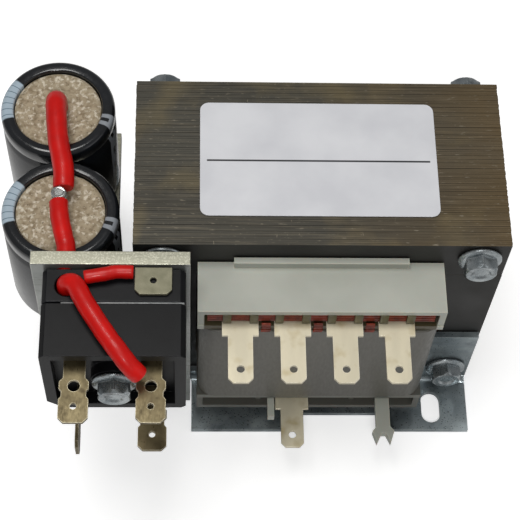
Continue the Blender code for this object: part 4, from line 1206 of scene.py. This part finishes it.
class TransformerLooks(bpy.types.PropertyGroup):
    """What a user would change: sheet and edge sizes, colours and light."""

    sheet_thickness: bpy.props.FloatProperty(
        name="Lamination", description="Thickness of one core sheet", default=0.5 * MM, min=0.2 * MM,
        subtype="DISTANCE", unit="LENGTH", precision=5,
    )
    sheet_stray: bpy.props.FloatProperty(
        name="Sheet stray", description="How far a core sheet stands out of line", default=0.07 * MM,
        subtype="DISTANCE", unit="LENGTH", precision=5,
    )
    sheet_metal: bpy.props.FloatProperty(
        name="Bracket sheet", description="Thickness of the folded brackets", default=1.5 * MM,
        subtype="DISTANCE", unit="LENGTH", precision=5,
    )
    mould_round: bpy.props.FloatProperty(
        name="Moulded edge", description="Radius on the edges of moulded pieces", default=0.3 * MM,
        subtype="DISTANCE", unit="LENGTH", precision=5,
    )
    stamp_round: bpy.props.FloatProperty(
        name="Stamped edge", description="Radius on the edges of stamped and sawn metal", default=0.16 * MM,
        subtype="DISTANCE", unit="LENGTH", precision=5,
    )
    rule_share: bpy.props.FloatProperty(
        name="Label rule", description="Place of the label's rule, as a share of its depth", default=0.48,
        min=0.0, max=1.0, subtype="FACTOR",
    )
    nylon_colour: bpy.props.FloatVectorProperty(
        name="Bobbin", description="Colour of the nylon bobbin", default=linear("#b3b5ab")[:3], size=3,
        min=0.0, max=1.0, subtype="COLOR",
    )
    lead_colour: bpy.props.FloatVectorProperty(
        name="Leads", description="Colour of the sleeved leads", default=linear("#d20a03")[:3], size=3,
        min=0.0, max=1.0, subtype="COLOR",
    )
    label_colour: bpy.props.FloatVectorProperty(
        name="Label", description="Colour of the label film", default=linear("#dcdde1")[:3], size=3,
        min=0.0, max=1.0, subtype="COLOR",
    )
    key_power: bpy.props.FloatProperty(
        name="Key lamp", description="Power of the main lamp", default=3.1, min=0.0,
        subtype="POWER", unit="POWER",
    )
    surround: bpy.props.FloatProperty(
        name="Surround", description="Strength of the pale surround", default=0.22, min=0.0, max=2.0,
    )
    floor_glow: bpy.props.FloatProperty(
        name="Floor whiteness", description="How far the camera sees the floor as white", default=0.5,
        min=0.0, max=1.0, subtype="FACTOR",
    )


MATERIALS = {}


def run_step(context, step):
    """Runs one building step with the panel's values and the shared finishes."""
    looks = context.scene.transformer_looks
    if not MATERIALS:
        MATERIALS.update(make_materials(looks))
    step(looks, MATERIALS)
    return {"FINISHED"}


class TRANSFORMER_OT_core(bpy.types.Operator):
    """Stack the E and I laminations of the core"""

    bl_idname = "transformer.core"
    bl_label = "Core"

    def execute(self, context):
        return run_step(context, build_core)


class TRANSFORMER_OT_bobbin(bpy.types.Operator):
    """Round the moulded edges of the nylon bobbin"""

    bl_idname = "transformer.bobbin"
    bl_label = "Bobbin"

    def execute(self, context):
        return run_step(context, build_bobbin)


class TRANSFORMER_OT_windings(bpy.types.Operator):
    """Wrap the winding and bring out its wires"""

    bl_idname = "transformer.windings"
    bl_label = "Windings"

    def execute(self, context):
        return run_step(context, build_windings)


class TRANSFORMER_OT_winding_tabs(bpy.types.Operator):
    """Stamp the blade terminals of the winding"""

    bl_idname = "transformer.winding_tabs"
    bl_label = "Winding tabs"

    def execute(self, context):
        return run_step(context, build_winding_tabs)


class TRANSFORMER_OT_fasteners(bpy.types.Operator):
    """Make the bolts, nuts, screw and spacer"""

    bl_idname = "transformer.fasteners"
    bl_label = "Fasteners"

    def execute(self, context):
        return run_step(context, build_fasteners)


class TRANSFORMER_OT_feet(bpy.types.Operator):
    """Fold the foot brackets"""

    bl_idname = "transformer.feet"
    bl_label = "Feet"

    def execute(self, context):
        return run_step(context, build_feet)


class TRANSFORMER_OT_carrier(bpy.types.Operator):
    """Saw and round the carrier plate"""

    bl_idname = "transformer.carrier"
    bl_label = "Carrier plate"

    def execute(self, context):
        return run_step(context, build_carrier)


class TRANSFORMER_OT_rectifier(bpy.types.Operator):
    """Mould the rectifier and its blades"""

    bl_idname = "transformer.rectifier"
    bl_label = "Rectifier"

    def execute(self, context):
        return run_step(context, build_rectifier)


class TRANSFORMER_OT_capacitors(bpy.types.Operator):
    """Sleeve and seal the two capacitors"""

    bl_idname = "transformer.capacitors"
    bl_label = "Capacitors"

    def execute(self, context):
        return run_step(context, build_capacitors)


class TRANSFORMER_OT_leads(bpy.types.Operator):
    """Run the sleeved leads and solder their joint"""

    bl_idname = "transformer.leads"
    bl_label = "Leads"

    def execute(self, context):
        return run_step(context, build_leads)


class TRANSFORMER_OT_label(bpy.types.Operator):
    """Lay the label on the core"""

    bl_idname = "transformer.label"
    bl_label = "Label"

    def execute(self, context):
        return run_step(context, build_label)


class TRANSFORMER_OT_stage(bpy.types.Operator):
    """Set the floor, the lamps and the camera"""

    bl_idname = "transformer.stage"
    bl_label = "Stage"

    def execute(self, context):
        return run_step(context, build_stage)


STEPS = (
    TRANSFORMER_OT_core,
    TRANSFORMER_OT_bobbin,
    TRANSFORMER_OT_windings,
    TRANSFORMER_OT_winding_tabs,
    TRANSFORMER_OT_fasteners,
    TRANSFORMER_OT_feet,
    TRANSFORMER_OT_carrier,
    TRANSFORMER_OT_rectifier,
    TRANSFORMER_OT_capacitors,
    TRANSFORMER_OT_leads,
    TRANSFORMER_OT_label,
    TRANSFORMER_OT_stage,
)


class TRANSFORMER_PT_looks(bpy.types.Panel):
    """The building steps and their sizes and colours."""

    bl_label = "Transformer"
    bl_space_type = "VIEW_3D"
    bl_region_type = "UI"
    bl_category = "Transformer"

    def draw(self, context):
        looks = context.scene.transformer_looks
        for name in TransformerLooks.__annotations__:
            self.layout.prop(looks, name)
        for step in STEPS:
            self.layout.operator(step.bl_idname)


CLASSES = (TransformerLooks, *STEPS, TRANSFORMER_PT_looks)


def register():
    for item in CLASSES:
        bpy.utils.register_class(item)
    bpy.types.Scene.transformer_looks = bpy.props.PointerProperty(type=TransformerLooks)


def unregister():
    del bpy.types.Scene.transformer_looks
    for item in reversed(CLASSES):
        bpy.utils.unregister_class(item)


def main():
    register()
    bpy.ops.transformer.core()
    bpy.ops.transformer.bobbin()
    bpy.ops.transformer.windings()
    bpy.ops.transformer.winding_tabs()
    bpy.ops.transformer.fasteners()
    bpy.ops.transformer.feet()
    bpy.ops.transformer.carrier()
    bpy.ops.transformer.rectifier()
    bpy.ops.transformer.capacitors()
    bpy.ops.transformer.leads()
    bpy.ops.transformer.label()
    bpy.ops.transformer.stage()


if __name__ == "__main__":
    main()
